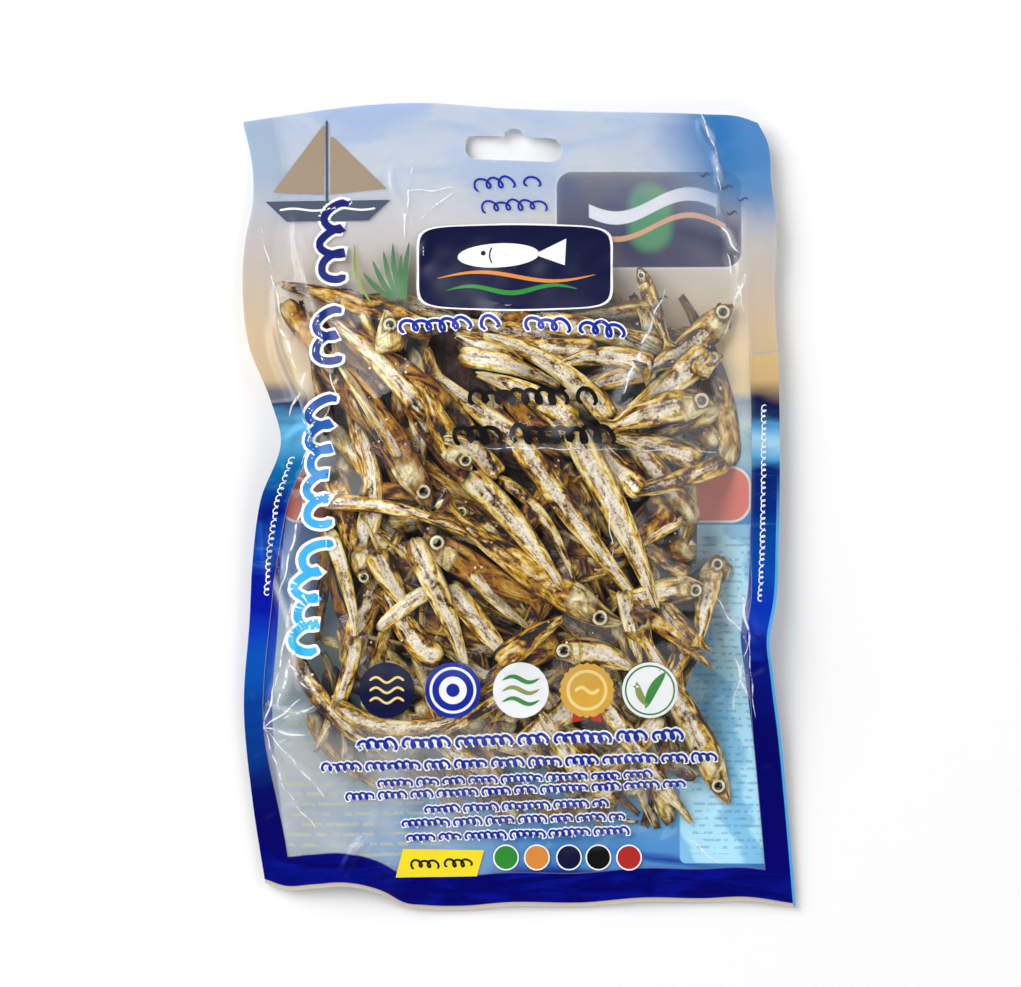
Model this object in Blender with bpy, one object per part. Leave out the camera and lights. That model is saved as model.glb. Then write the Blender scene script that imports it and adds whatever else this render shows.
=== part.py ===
"""A sealed clear pouch of dried anchovies, lying on its back.

The pouch is one closed solid: two films sealed round their edges, filled out by the fish between them.
X runs across the pouch and Y up it, towards the hang slot. Z is up, and the back rests on Z = 0.
"""

import math

import bmesh
import bpy
import numpy as np

MM = 0.001

# The film
FILM_PAIR = 0.5 * MM
SIDE_SEAL = 8.5 * MM
BOTTOM_SEAL = 11.5 * MM
HEADER = 40.0 * MM
SLACK = 2.6 * MM
BACK_ROLL = 17.0 * MM

# The heap of fish
HEAP_HEIGHT = 19.5 * MM
HEAP_MIDDLE = (-3.0 * MM, -6.0 * MM)
HEAP_HALF_WIDTH = 81.0 * MM
HEAP_HALF_LENGTH = 103.0 * MM
FISH_LIFT = 2.2 * MM
FISH_HALF_DEPTH = 6.5 * MM

# The hang slot
SLOT_WIDTH = 32.0 * MM
SLOT_HEIGHT = 7.8 * MM
SLOT_NOTCH_RADIUS = 3.7 * MM
SLOT_MIDDLE = (-2.1 * MM, 118.2 * MM)
SLOT_TILT = math.radians(-2.4)
SLOT_ARC_STEPS = 10
CUTTER_HALF_HEIGHT = 20.0 * MM

# How finely the films are divided
CELLS_ACROSS = 40
CELLS_ALONG = 50
CELLS_HEADER = 8

# The four edges, in millimetres: across, up the pouch and above the table, where they wave and lift
LEFT_EDGE = [
    (-84.2, -124.5, 2.2), (-88.4, -96.9, 2.6), (-91.1, -65.5, 3.6), (-89.1, -37.5, 4.8),
    (-87.8, -16.0, 6.0), (-85.1, 2.1, 8.2), (-78.2, 21.9, 10.8), (-81.8, 35.1, 9.4),
    (-89.1, 52.6, 6.0), (-91.4, 69.8, 4.6), (-90.8, 86.3, 4.2), (-88.1, 101.1, 3.8),
    (-88.4, 112.7, 3.4), (-91.4, 126.9, 3.6),
]
RIGHT_EDGE = [
    (91.4, -132.8, 1.6), (88.8, -103.5, 2.8), (86.1, -77.1, 4.8), (83.2, -55.6, 7.2),
    (81.8, -44.1, 9.2), (84.2, -30.9, 7.4), (85.1, -11.1, 6.4), (85.5, 25.2, 6.0),
    (85.1, 45.0, 5.8), (83.8, 73.1, 5.4), (84.5, 92.9, 5.6), (82.8, 106.1, 5.4),
    (81.2, 120.9, 5.0), (78.4, 126.4, 4.8),
]
BOTTOM_EDGE = [
    (-84.2, -124.5, 2.2), (-77.5, -126.6, 3.0), (-67.7, -125.9, 4.6), (-57.8, -125.2, 5.4),
    (-51.0, -126.2, 5.0), (-44.6, -128.5, 3.8), (-38.0, -132.3, 2.4), (-31.4, -133.2, 1.8),
    (-18.2, -133.5, 1.4), (-5.0, -132.3, 2.0), (21.5, -132.4, 1.4), (41.3, -130.6, 2.4),
    (61.0, -131.0, 1.6), (74.3, -130.4, 2.2), (91.4, -132.8, 1.6),
]
TOP_EDGE = [
    (-91.4, 126.9, 3.6), (-71.0, 130.2, 2.6), (-44.6, 133.2, 2.0), (-31.4, 133.5, 2.0),
    (-5.0, 131.6, 2.8), (21.0, 130.5, 3.4), (41.0, 130.2, 3.0), (61.0, 129.5, 3.4),
    (73.0, 128.4, 4.4), (78.4, 126.4, 4.8),
]

# The fish that lie against the front film, tail to head, in millimetres across and up the pouch
FISH_AGAINST_FILM = [
    ((-67.7, 64.8), (-30.7, 27.9)), ((-66.7, 55.6), (-40.3, 16.3)), ((-58.0, 46.0), (-30.4, -1.2)),
    ((-65.3, 1.2), (-19.8, -7.8)), ((3.3, -30.9), (-31.4, -8.7)), ((-18.2, -51.3), (-35.3, -12.0)),
    ((-4.3, -49.7), (-22.4, -27.2)), ((-56.8, -63.9), (-62.7, -9.4)), ((-69.0, -82.7), (-56.0, -47.0)),
    ((-39.6, -87.0), (-74.9, -53.3)), ((-16.5, -68.8), (-59.4, -66.5)), ((-16.5, 8.7), (12.2, -23.3)),
    ((7.3, -21.6), (32.0, -37.5)), ((44.6, -31.8), (18.2, 21.9)), ((37.6, -30.9), (-3.3, 19.6)),
    ((39.9, -40.8), (70.3, -100.5)), ((26.4, -63.9), (56.8, -106.0)), ((63.4, -53.3), (37.6, -35.1)),
    ((39.6, 44.4), (71.0, 67.5)), ((31.7, 27.6), (62.7, 51.0)), ((30.0, 4.5), (69.0, 15.0)),
    ((47.5, 53.0), (7.6, 64.2)),
]


def smooth_step(value):
    """0 below 0 and 1 above 1, with a smooth rise between."""
    t = np.clip(value, 0.0, 1.0)
    return t * t * (3.0 - 2.0 * t)


def edge_curve(points, axis, share):
    """Points at each share of an edge's length along axis, on a smooth curve through the edge's points."""
    points = np.array(points) * MM
    stops = points[:, axis]
    slopes = np.gradient(points, stops, axis=0)
    at = stops[0] + share * (stops[-1] - stops[0])
    i = np.clip(np.searchsorted(stops, at) - 1, 0, len(stops) - 2)
    gap = (stops[i + 1] - stops[i])[:, None]
    t = (at - stops[i])[:, None] / gap
    start = points[i] * (1 + 2 * t) * (1 - t) ** 2 + slopes[i] * gap * t * (1 - t) ** 2
    end = points[i + 1] * t**2 * (3 - 2 * t) + slopes[i + 1] * gap * t**2 * (t - 1)
    return start + end


def seal_surface(across, along):
    """The surface that the two films are sealed on, spread between the four edges."""
    u, v = across[None, :, None], along[:, None, None]
    left, right = (edge_curve(e, 1, along)[:, None, :] for e in (LEFT_EDGE, RIGHT_EDGE))
    bottom, top = (edge_curve(e, 0, across)[None, :, :] for e in (BOTTOM_EDGE, TOP_EDGE))
    corners = (
        left[0] * (1 - u) * (1 - v) + right[0] * u * (1 - v) + left[-1] * (1 - u) * v + right[-1] * u * v
    )
    return left * (1 - u) + right * u + bottom * (1 - v) + top * v - corners


def inside_seals(surface):
    """How far each point is inside the nearest seal, in metres, and 0 on the seals and the header."""
    x, y = surface[:, :, 0], surface[:, :, 1]
    side = np.minimum(x - x[:, :1], x[:, -1:] - x) - SIDE_SEAL
    end = np.minimum(y - y[:1] - BOTTOM_SEAL, y[-1:] - HEADER - y)
    corner = np.maximum(side, 0) * np.maximum(end, 0)
    return corner / np.maximum(side + end, 1e-6)


def heap(x, y):
    """Height of the heap of fish over the seals."""
    across = (x - HEAP_MIDDLE[0]) / HEAP_HALF_WIDTH
    along = (y - HEAP_MIDDLE[1]) / HEAP_HALF_LENGTH
    spread = np.clip(np.abs(across) ** 2.6 + np.abs(along) ** 2.2, 0, 1)
    return HEAP_HEIGHT * (1 - spread) ** 0.85


def fish_relief(x, y):
    """How far the fish under the front film push it out."""
    relief = np.zeros_like(x)
    for tail, head in FISH_AGAINST_FILM:
        tail, head = np.array(tail) * MM, np.array(head) * MM
        run = head - tail
        share = ((x - tail[0]) * run[0] + (y - tail[1]) * run[1]) / (run @ run)
        near = tail + np.clip(share, 0, 1)[..., None] * run
        off = np.hypot(x - near[..., 0], y - near[..., 1])
        depth = FISH_HALF_DEPTH * (0.75 + 0.25 * np.clip(share, 0, 1))
        relief = np.maximum(relief, FISH_LIFT * np.exp(-((off / depth) ** 2)))
    return relief


def film_heights(surface):
    """Heights of the front film and of the back film over the table."""
    x, y, seal = surface[:, :, 0], surface[:, :, 1], surface[:, :, 2]
    inside = inside_seals(surface)
    opened = smooth_step(inside / BACK_ROLL)
    front = seal + FILM_PAIR / 2 + SLACK * np.sqrt(opened) + opened * (heap(x, y) + fish_relief(x, y))
    back = (seal - FILM_PAIR / 2) * (1 - opened)
    return front, back


def stops():
    """Shares of the pouch's width and length where the films are divided, with whole cells on the seals."""
    width = (RIGHT_EDGE[6][0] - LEFT_EDGE[6][0]) * MM
    length = (TOP_EDGE[0][1] - BOTTOM_EDGE[0][1]) * MM
    side, bottom, header = SIDE_SEAL / width, BOTTOM_SEAL / length, 1 - HEADER / length
    across = np.concatenate([[0], np.linspace(side, 1 - side, CELLS_ACROSS + 1), [1]])
    along = np.concatenate([
        [0, bottom / 2],
        np.linspace(bottom, header, CELLS_ALONG, endpoint=False),
        np.linspace(header, 1, CELLS_HEADER + 1),
    ])
    return across, along


def film_material():
    material = bpy.data.materials.new("printed film")
    material.use_nodes = True
    shader = material.node_tree.nodes["Principled BSDF"]
    shader.inputs["Base Color"].default_value = (0.42, 0.36, 0.30, 1)
    shader.inputs["Roughness"].default_value = 0.22
    shader.inputs["Metallic"].default_value = 0.0
    return material


def pouch_mesh():
    """Two films on one grid, joined round the edge."""
    across, along = stops()
    surface = seal_surface(across, along)
    front, back = film_heights(surface)
    bm = bmesh.new()
    bmesh.ops.create_grid(bm, x_segments=len(across) - 1, y_segments=len(along) - 1, size=1.0)
    column = {v: round((v.co.x + 1) / 2 * (len(across) - 1)) for v in bm.verts}
    row = {v: round((v.co.y + 1) / 2 * (len(along) - 1)) for v in bm.verts}
    for v in bm.verts:
        x, y, _ = surface[row[v], column[v]]
        v.co = (x, y, front[row[v], column[v]])
    lower = {v: back[row[v], column[v]] for v in bm.verts}
    made = bmesh.ops.extrude_face_region(bm, geom=bm.faces[:])
    new = {v for v in made["geom"] if isinstance(v, bmesh.types.BMVert)}
    for v in bm.verts:
        if v not in new:
            v.co.z = lower[v]
    flat = [f for f in bm.faces if max(v.co.z for v in f.verts) < 1e-9]
    bmesh.ops.dissolve_faces(bm, faces=flat, use_verts=True)
    bmesh.ops.recalc_face_normals(bm, faces=bm.faces[:])
    mesh = bpy.data.meshes.new("pouch")
    bm.to_mesh(mesh)
    bm.free()
    return mesh


def arc(centre, radius, start, end):
    angles = np.linspace(start, end, SLOT_ARC_STEPS + 1)
    return [(centre[0] + radius * math.cos(a), centre[1] + radius * math.sin(a)) for a in angles]


def slot_outline():
    """A bar with round ends and a notch in the middle of its upper side."""
    end = SLOT_HEIGHT / 2
    run = SLOT_WIDTH / 2 - end
    notch = math.asin(0.25)
    upper = (0, end - SLOT_NOTCH_RADIUS * math.sin(notch))
    return (
        arc((run, 0), end, -math.pi / 2, math.pi / 2)
        + arc(upper, SLOT_NOTCH_RADIUS, notch, math.pi - notch)
        + arc((-run, 0), end, math.pi / 2, 3 * math.pi / 2)
    )


def slot_cutter(collection, shift):
    points = slot_outline()
    curve = bpy.data.curves.new("slot cutter", "CURVE")
    curve.dimensions = "2D"
    curve.fill_mode = "BOTH"
    curve.extrude = CUTTER_HALF_HEIGHT
    spline = curve.splines.new("POLY")
    spline.points.add(len(points) - 1)
    for point, (x, y) in zip(spline.points, points):
        point.co = (x, y, 0, 1)
    spline.use_cyclic_u = True
    guide = bpy.data.objects.new("slot guide", curve)
    guide.location = (SLOT_MIDDLE[0] - shift[0], SLOT_MIDDLE[1] - shift[1], 0)
    guide.rotation_euler.z = SLOT_TILT
    collection.objects.link(guide)
    bpy.context.view_layer.update()
    graph = bpy.context.evaluated_depsgraph_get()
    mesh = bpy.data.meshes.new_from_object(guide.evaluated_get(graph))
    bm = bmesh.new()
    bm.from_mesh(mesh)
    bmesh.ops.remove_doubles(bm, verts=bm.verts[:], dist=1e-6)
    bmesh.ops.recalc_face_normals(bm, faces=bm.faces[:])
    bm.to_mesh(mesh)
    bm.free()
    cutter = bpy.data.objects.new("slot_cutter", mesh)
    cutter.matrix_world = guide.matrix_world
    cutter.hide_render = True
    cutter.display_type = "WIRE"
    collection.objects.link(cutter)
    bpy.data.objects.remove(guide)
    return cutter


def centre_on_origin(mesh):
    """Moves the mesh so that its box is centred on the origin across and up, and gives how far it moved."""
    points = np.array([v.co for v in mesh.vertices])
    middle = (points.min(0) + points.max(0)) / 2
    for v in mesh.vertices:
        v.co.x -= middle[0]
        v.co.y -= middle[1]
    return middle


def main():
    for old in list(bpy.data.objects):
        bpy.data.objects.remove(old)
    parts = bpy.data.collections.new("dried anchovies")
    cutters = bpy.data.collections.new("cutters")
    for collection in (parts, cutters):
        bpy.context.scene.collection.children.link(collection)
    mesh = pouch_mesh()
    shift = centre_on_origin(mesh)
    mesh.materials.append(film_material())
    pouch = bpy.data.objects.new("pouch", mesh)
    parts.objects.link(pouch)
    cut = pouch.modifiers.new("hang slot", "BOOLEAN")
    cut.operation = "DIFFERENCE"
    cut.solver = "EXACT"
    cut.object = slot_cutter(cutters, shift)
    mesh.shade_smooth()


main()
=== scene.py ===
"""Dried anchovies in a clear printed pouch, seen from above as it lies on a pale table.

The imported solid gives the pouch's outer form. Here it gives way to a front film and a back film, with the
dried fish between them: each fish is laid on those under it, and the front film is drawn down over them.
"""

import math

import bmesh
import bpy
import numpy as np
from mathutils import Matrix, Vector
from mathutils.bvhtree import BVHTree

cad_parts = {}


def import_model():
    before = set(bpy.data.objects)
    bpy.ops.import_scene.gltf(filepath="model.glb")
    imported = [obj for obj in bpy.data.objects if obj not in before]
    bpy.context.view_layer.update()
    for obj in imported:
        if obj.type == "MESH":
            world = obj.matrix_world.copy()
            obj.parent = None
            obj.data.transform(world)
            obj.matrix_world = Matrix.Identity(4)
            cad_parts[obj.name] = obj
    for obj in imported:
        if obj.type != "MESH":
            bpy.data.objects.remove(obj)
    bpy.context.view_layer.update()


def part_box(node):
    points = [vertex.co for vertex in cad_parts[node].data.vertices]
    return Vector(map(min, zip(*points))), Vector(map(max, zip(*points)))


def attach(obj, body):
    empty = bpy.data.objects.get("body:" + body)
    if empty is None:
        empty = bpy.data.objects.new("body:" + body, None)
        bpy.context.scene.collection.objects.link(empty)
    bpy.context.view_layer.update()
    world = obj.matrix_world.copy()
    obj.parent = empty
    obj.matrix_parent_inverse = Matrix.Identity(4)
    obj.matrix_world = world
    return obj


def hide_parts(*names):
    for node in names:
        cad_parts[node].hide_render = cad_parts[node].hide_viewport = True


MM = 0.001
# Where a look straight down for the height of a surface starts
ABOVE_ALL = 200.0 * MM

# The film, cut and sealed as the solid's is
FILM_PAIR = 0.5 * MM
SIDE_SEAL = 8.5 * MM
BOTTOM_SEAL = 11.5 * MM
HEADER = 40.0 * MM
SLACK = 2.6 * MM
BACK_ROLL = 17.0 * MM
HEAP_HEIGHT = 19.5 * MM
HEAP_MIDDLE = (-3.0 * MM, -6.0 * MM)
HEAP_HALF_WIDTH = 81.0 * MM
HEAP_HALF_LENGTH = 103.0 * MM

# Cells across and along the front film, the back film, and the rough back film that the fish are laid on
FRONT_CELLS = (250, 368)
BACK_CELLS = (126, 184)
ROUGH_CELLS = (60, 80)

# How the front film is drawn down: its cells in millimetres, how much it sags, and the rounds of it,
# first over cells wider by WIDE_STEP
FILM_CELL = 0.73
FILM_SAG = 0.030
FILM_STEPS = 160
WIDE_STEP = 4
WIDE_STEPS = 400

# What the front film keeps off the fish and the back film, the relief that is left in it, and the most
# painted sheen and crease highlight that it may show
FILM_OFF_FISH = 0.20 * MM
FILM_OFF_BACK = 0.45 * MM
CREASE_RIDGE = 0.35 * MM
FINE_RIPPLE = 0.20 * MM
BROAD_RIPPLE = 0.10 * MM
MOST_SHEEN = 0.7
# How far in from the sides, the bottom and the top the unprinted window begins
WINDOW_INSET = (10 * MM, 12 * MM, 55 * MM)

# The hang slot
SLOT_WIDTH = 32.0 * MM
SLOT_HEIGHT = 7.8 * MM
SLOT_NOTCH_RADIUS = 3.7 * MM
SLOT_MIDDLE = (-2.1 * MM, 118.2 * MM)
SLOT_TILT = math.radians(-2.4)

# The four edges of the film, in millimetres: across, up the pouch and above the table
LEFT_EDGE = [
    (-84.2, -124.5, 2.2), (-88.4, -96.9, 2.6), (-91.1, -65.5, 3.6), (-89.1, -37.5, 4.8),
    (-87.8, -16.0, 6.0), (-85.1, 2.1, 8.2), (-78.2, 21.9, 10.8), (-81.8, 35.1, 9.4),
    (-89.1, 52.6, 6.0), (-91.4, 69.8, 4.6), (-90.8, 86.3, 4.2), (-88.1, 101.1, 3.8),
    (-88.4, 112.7, 3.4), (-91.4, 126.9, 3.6),
]
RIGHT_EDGE = [
    (91.4, -132.8, 1.6), (88.8, -103.5, 2.8), (86.1, -77.1, 4.8), (83.2, -55.6, 7.2),
    (81.8, -44.1, 9.2), (84.2, -30.9, 7.4), (85.1, -11.1, 6.4), (85.5, 25.2, 6.0),
    (85.1, 45.0, 5.8), (83.8, 73.1, 5.4), (84.5, 92.9, 5.6), (82.8, 106.1, 5.4),
    (81.2, 120.9, 5.0), (78.4, 126.4, 4.8),
]
BOTTOM_EDGE = [
    (-84.2, -124.5, 2.2), (-77.5, -126.6, 3.0), (-67.7, -125.9, 4.6), (-57.8, -125.2, 5.4),
    (-51.0, -126.2, 5.0), (-44.6, -128.5, 3.8), (-38.0, -132.3, 2.4), (-31.4, -133.2, 1.8),
    (-18.2, -133.5, 1.4), (-5.0, -132.3, 2.0), (21.5, -132.4, 1.4), (41.3, -130.6, 2.4),
    (61.0, -131.0, 1.6), (74.3, -130.4, 2.2), (91.4, -132.8, 1.6),
]
TOP_EDGE = [
    (-91.4, 126.9, 3.6), (-71.0, 130.2, 2.6), (-44.6, 133.2, 2.0), (-31.4, 133.5, 2.0),
    (-5.0, 131.6, 2.8), (21.0, 130.5, 3.4), (41.0, 130.2, 3.0), (61.0, 129.5, 3.4),
    (73.0, 128.4, 4.4), (78.4, 126.4, 4.8),
]

# The sharp folds of the front film: two ends in millimetres, height and half width
FOLDS = [
    ((48.0, 71.5), (33.0, 35.0), 1.3, 1.5), ((59.4, 130.0), (66.0, 104.5), 1.2, 1.6),
    ((66.0, 104.5), (73.0, 72.0), 1.4, 2.2), ((66.0, 104.5), (79.0, 96.0), 1.0, 1.8),
    ((-74.0, 96.0), (-63.0, 38.0), 1.6, 3.2), ((-82.0, 60.0), (-66.0, 12.0), 2.2, 3.0),
    ((-78.0, 20.0), (-60.0, 34.0), 1.6, 2.6), ((-78.0, 14.0), (-62.0, 2.0), 1.8, 2.4),
    ((-86.0, 0.0), (-72.0, -60.0), 2.4, 3.4), ((-80.0, -12.0), (-66.0, -48.0), 1.4, 1.8),
    ((-89.0, -62.0), (-66.0, -74.0), 1.4, 1.8), ((-88.0, -84.0), (-64.0, -70.0), 1.0, 1.6),
    ((-84.0, -104.0), (-60.0, -92.0), 1.0, 1.8), ((-58.0, -122.0), (-46.0, -98.0), 1.6, 2.8),
    ((78.0, -42.0), (60.0, -36.0), 1.4, 2.0), ((80.0, -52.0), (63.0, -66.0), 1.4, 2.2),
    ((83.0, -84.0), (66.0, -96.0), 1.0, 1.6), ((82.0, 22.0), (66.0, 28.0), 1.0, 1.6),
    ((-42.0, 113.0), (-36.0, 84.0), 0.8, 2.0), ((-26.0, 96.0), (-38.0, 72.0), 0.7, 1.6),
    ((44.0, -116.0), (52.0, -96.0), 0.9, 2.0), ((10.0, -119.0), (6.0, -102.0), 0.8, 2.0),
    ((62.0, 64.0), (72.0, 50.0), 0.8, 1.4), ((-10.0, 22.8), (66.0, 20.0), 0.35, 0.7),
    ((28.0, 12.0), (30.0, -18.0), 0.5, 0.9), ((-30.0, -118.0), (-22.0, -100.0), 0.8, 2.0),
]

# Fine creases, along which white highlights are painted on the film: two ends in millimetres, half width and
# strength of the painted highlight, with a soft edge beyond
CREASE_SOFT = 1.1
CREASES = [
    ((-84.5, -73.1), (-72.6, -63.9), 0.5, 0.8), ((-84.5, -73.1), (-71.0, -76.0), 0.6, 0.9),
    ((-84.5, -73.1), (-77.5, -93.6), 0.4, 0.7), ((-84.5, -73.1), (-62.7, -97.5), 0.5, 0.6),
    ((-84.5, -73.1), (-80.9, -58.6), 0.5, 0.7), ((-80.9, -60.6), (-72.6, -17.7), 0.6, 0.7),
    ((-76.5, -44.0), (-68.6, -11.0), 0.4, 0.6), ((-77.5, -93.6), (-66.0, -108.0), 0.4, 0.4),
    ((-79.5, -30.0), (-71.0, 4.0), 0.7, 0.6), ((-72.0, 14.0), (-63.0, 33.0), 0.8, 0.6),
    ((75.4, -43.7), (70.0, -67.5), 0.35, 0.6), ((64.0, -29.5), (75.4, -45.0), 0.35, 0.6),
    ((75.4, -45.0), (77.5, -70.0), 0.4, 0.5), ((59.4, 130.2), (64.5, 118.0), 0.35, 0.9),
    ((64.5, 118.0), (66.0, 104.4), 0.35, 0.9), ((67.7, 84.6), (74.3, 64.8), 0.5, 0.9),
    ((47.8, 71.5), (33.0, 35.1), 0.55, 0.9), ((-35.6, 114.0), (-38.6, 88.0), 0.6, 0.5),
    ((-21.5, 104.4), (-33.0, 95.0), 0.5, 0.5), ((-37.0, 104.0), (-21.5, 105.0), 0.5, 0.4),
    ((-16.5, 19.4), (33.0, 18.8), 0.16, 0.45), ((33.0, 18.8), (68.0, 18.0), 0.16, 0.25),
    ((28.0, 12.0), (31.0, -19.0), 0.25, 0.35), ((56.0, -110.0), (66.0, -118.0), 0.4, 0.4),
    ((-86.0, 94.0), (-78.0, 60.0), 0.7, 0.35), ((-67.0, 60.0), (-60.0, 34.0), 0.5, 0.35),
    ((-80.0, -66.0), (-74.5, -46.0), 2.6, 1.7), ((-78.0, -70.0), (-68.0, -66.0), 1.8, 1.4),
    ((-75.0, -40.0), (-69.5, -16.0), 1.8, 1.2), ((-70.0, -60.0), (-76.5, -52.0), 1.0, 1.5),
    ((73.0, -28.0), (76.0, -46.0), 1.6, 1.4), ((71.0, -50.0), (75.5, -64.0), 1.4, 1.2),
    ((70.5, 66.0), (75.5, 80.0), 1.6, 1.4), ((72.0, 84.0), (66.5, 92.0), 1.4, 1.3),
    ((-76.0, 30.0), (-70.5, 44.0), 2.2, 1.2), ((-74.0, 46.0), (-80.0, 62.0), 2.0, 1.0),
]

# The fish, as shares of a whole fish's length and depth, from the nose to the end of the tail
BACK_LINE = [
    (0.0, 0.05), (0.02, 0.17), (0.06, 0.29), (0.12, 0.39), (0.20, 0.46), (0.28, 0.49), (0.38, 0.49),
    (0.55, 0.43), (0.70, 0.34), (0.82, 0.23), (0.89, 0.18), (0.93, 0.26), (0.965, 0.42), (1.0, 0.52),
]
BELLY_LINE = [
    (0.0, 0.04), (0.02, 0.11), (0.06, 0.22), (0.12, 0.34), (0.18, 0.45), (0.24, 0.51), (0.32, 0.52),
    (0.42, 0.50), (0.55, 0.45), (0.70, 0.34), (0.82, 0.22), (0.89, 0.17), (0.93, 0.25), (0.965, 0.42),
    (1.0, 0.52),
]
SIDE_LINE = [
    (0.0, 0.03), (0.03, 0.12), (0.08, 0.20), (0.16, 0.25), (0.23, 0.25), (0.30, 0.22), (0.42, 0.20),
    (0.60, 0.17), (0.75, 0.13), (0.86, 0.09), (0.90, 0.06), (0.93, 0.03), (1.0, 0.015),
]
# Where the head ends and the tail fin begins, and how deep the fin's fork is
HEAD = 0.285
TAIL_FIN = 0.90
FORK = 0.045
# The eye: where it is along and up the fish, its radius on a fish of EYE_DEPTH, and its points round
EYE_AT = (0.108, 0.09)
EYE_RADIUS = 2.2 * MM
EYE_DEPTH = 8.5 * MM
EYE_SIDES = 14

# The kinds: where each begins and ends on a whole fish, and its points along it and round it
KINDS = {
    "whole": (0.0, 1.0, 60, 22),
    "body": (0.28, 0.90, 44, 20),
    "split": (0.28, 0.86, 40, 20),
    "head": (0.0, 0.31, 34, 22),
    "piece": (0.36, 0.72, 22, 18),
    "under": (0.20, 0.92, 26, 14),
}
PIECE_NAMES = {
    "whole": "whole_fish", "body": "headless_fish", "split": "split_fish",
    "head": "loose_heads", "piece": "broken_fish", "under": "fish_below",
}

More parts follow.
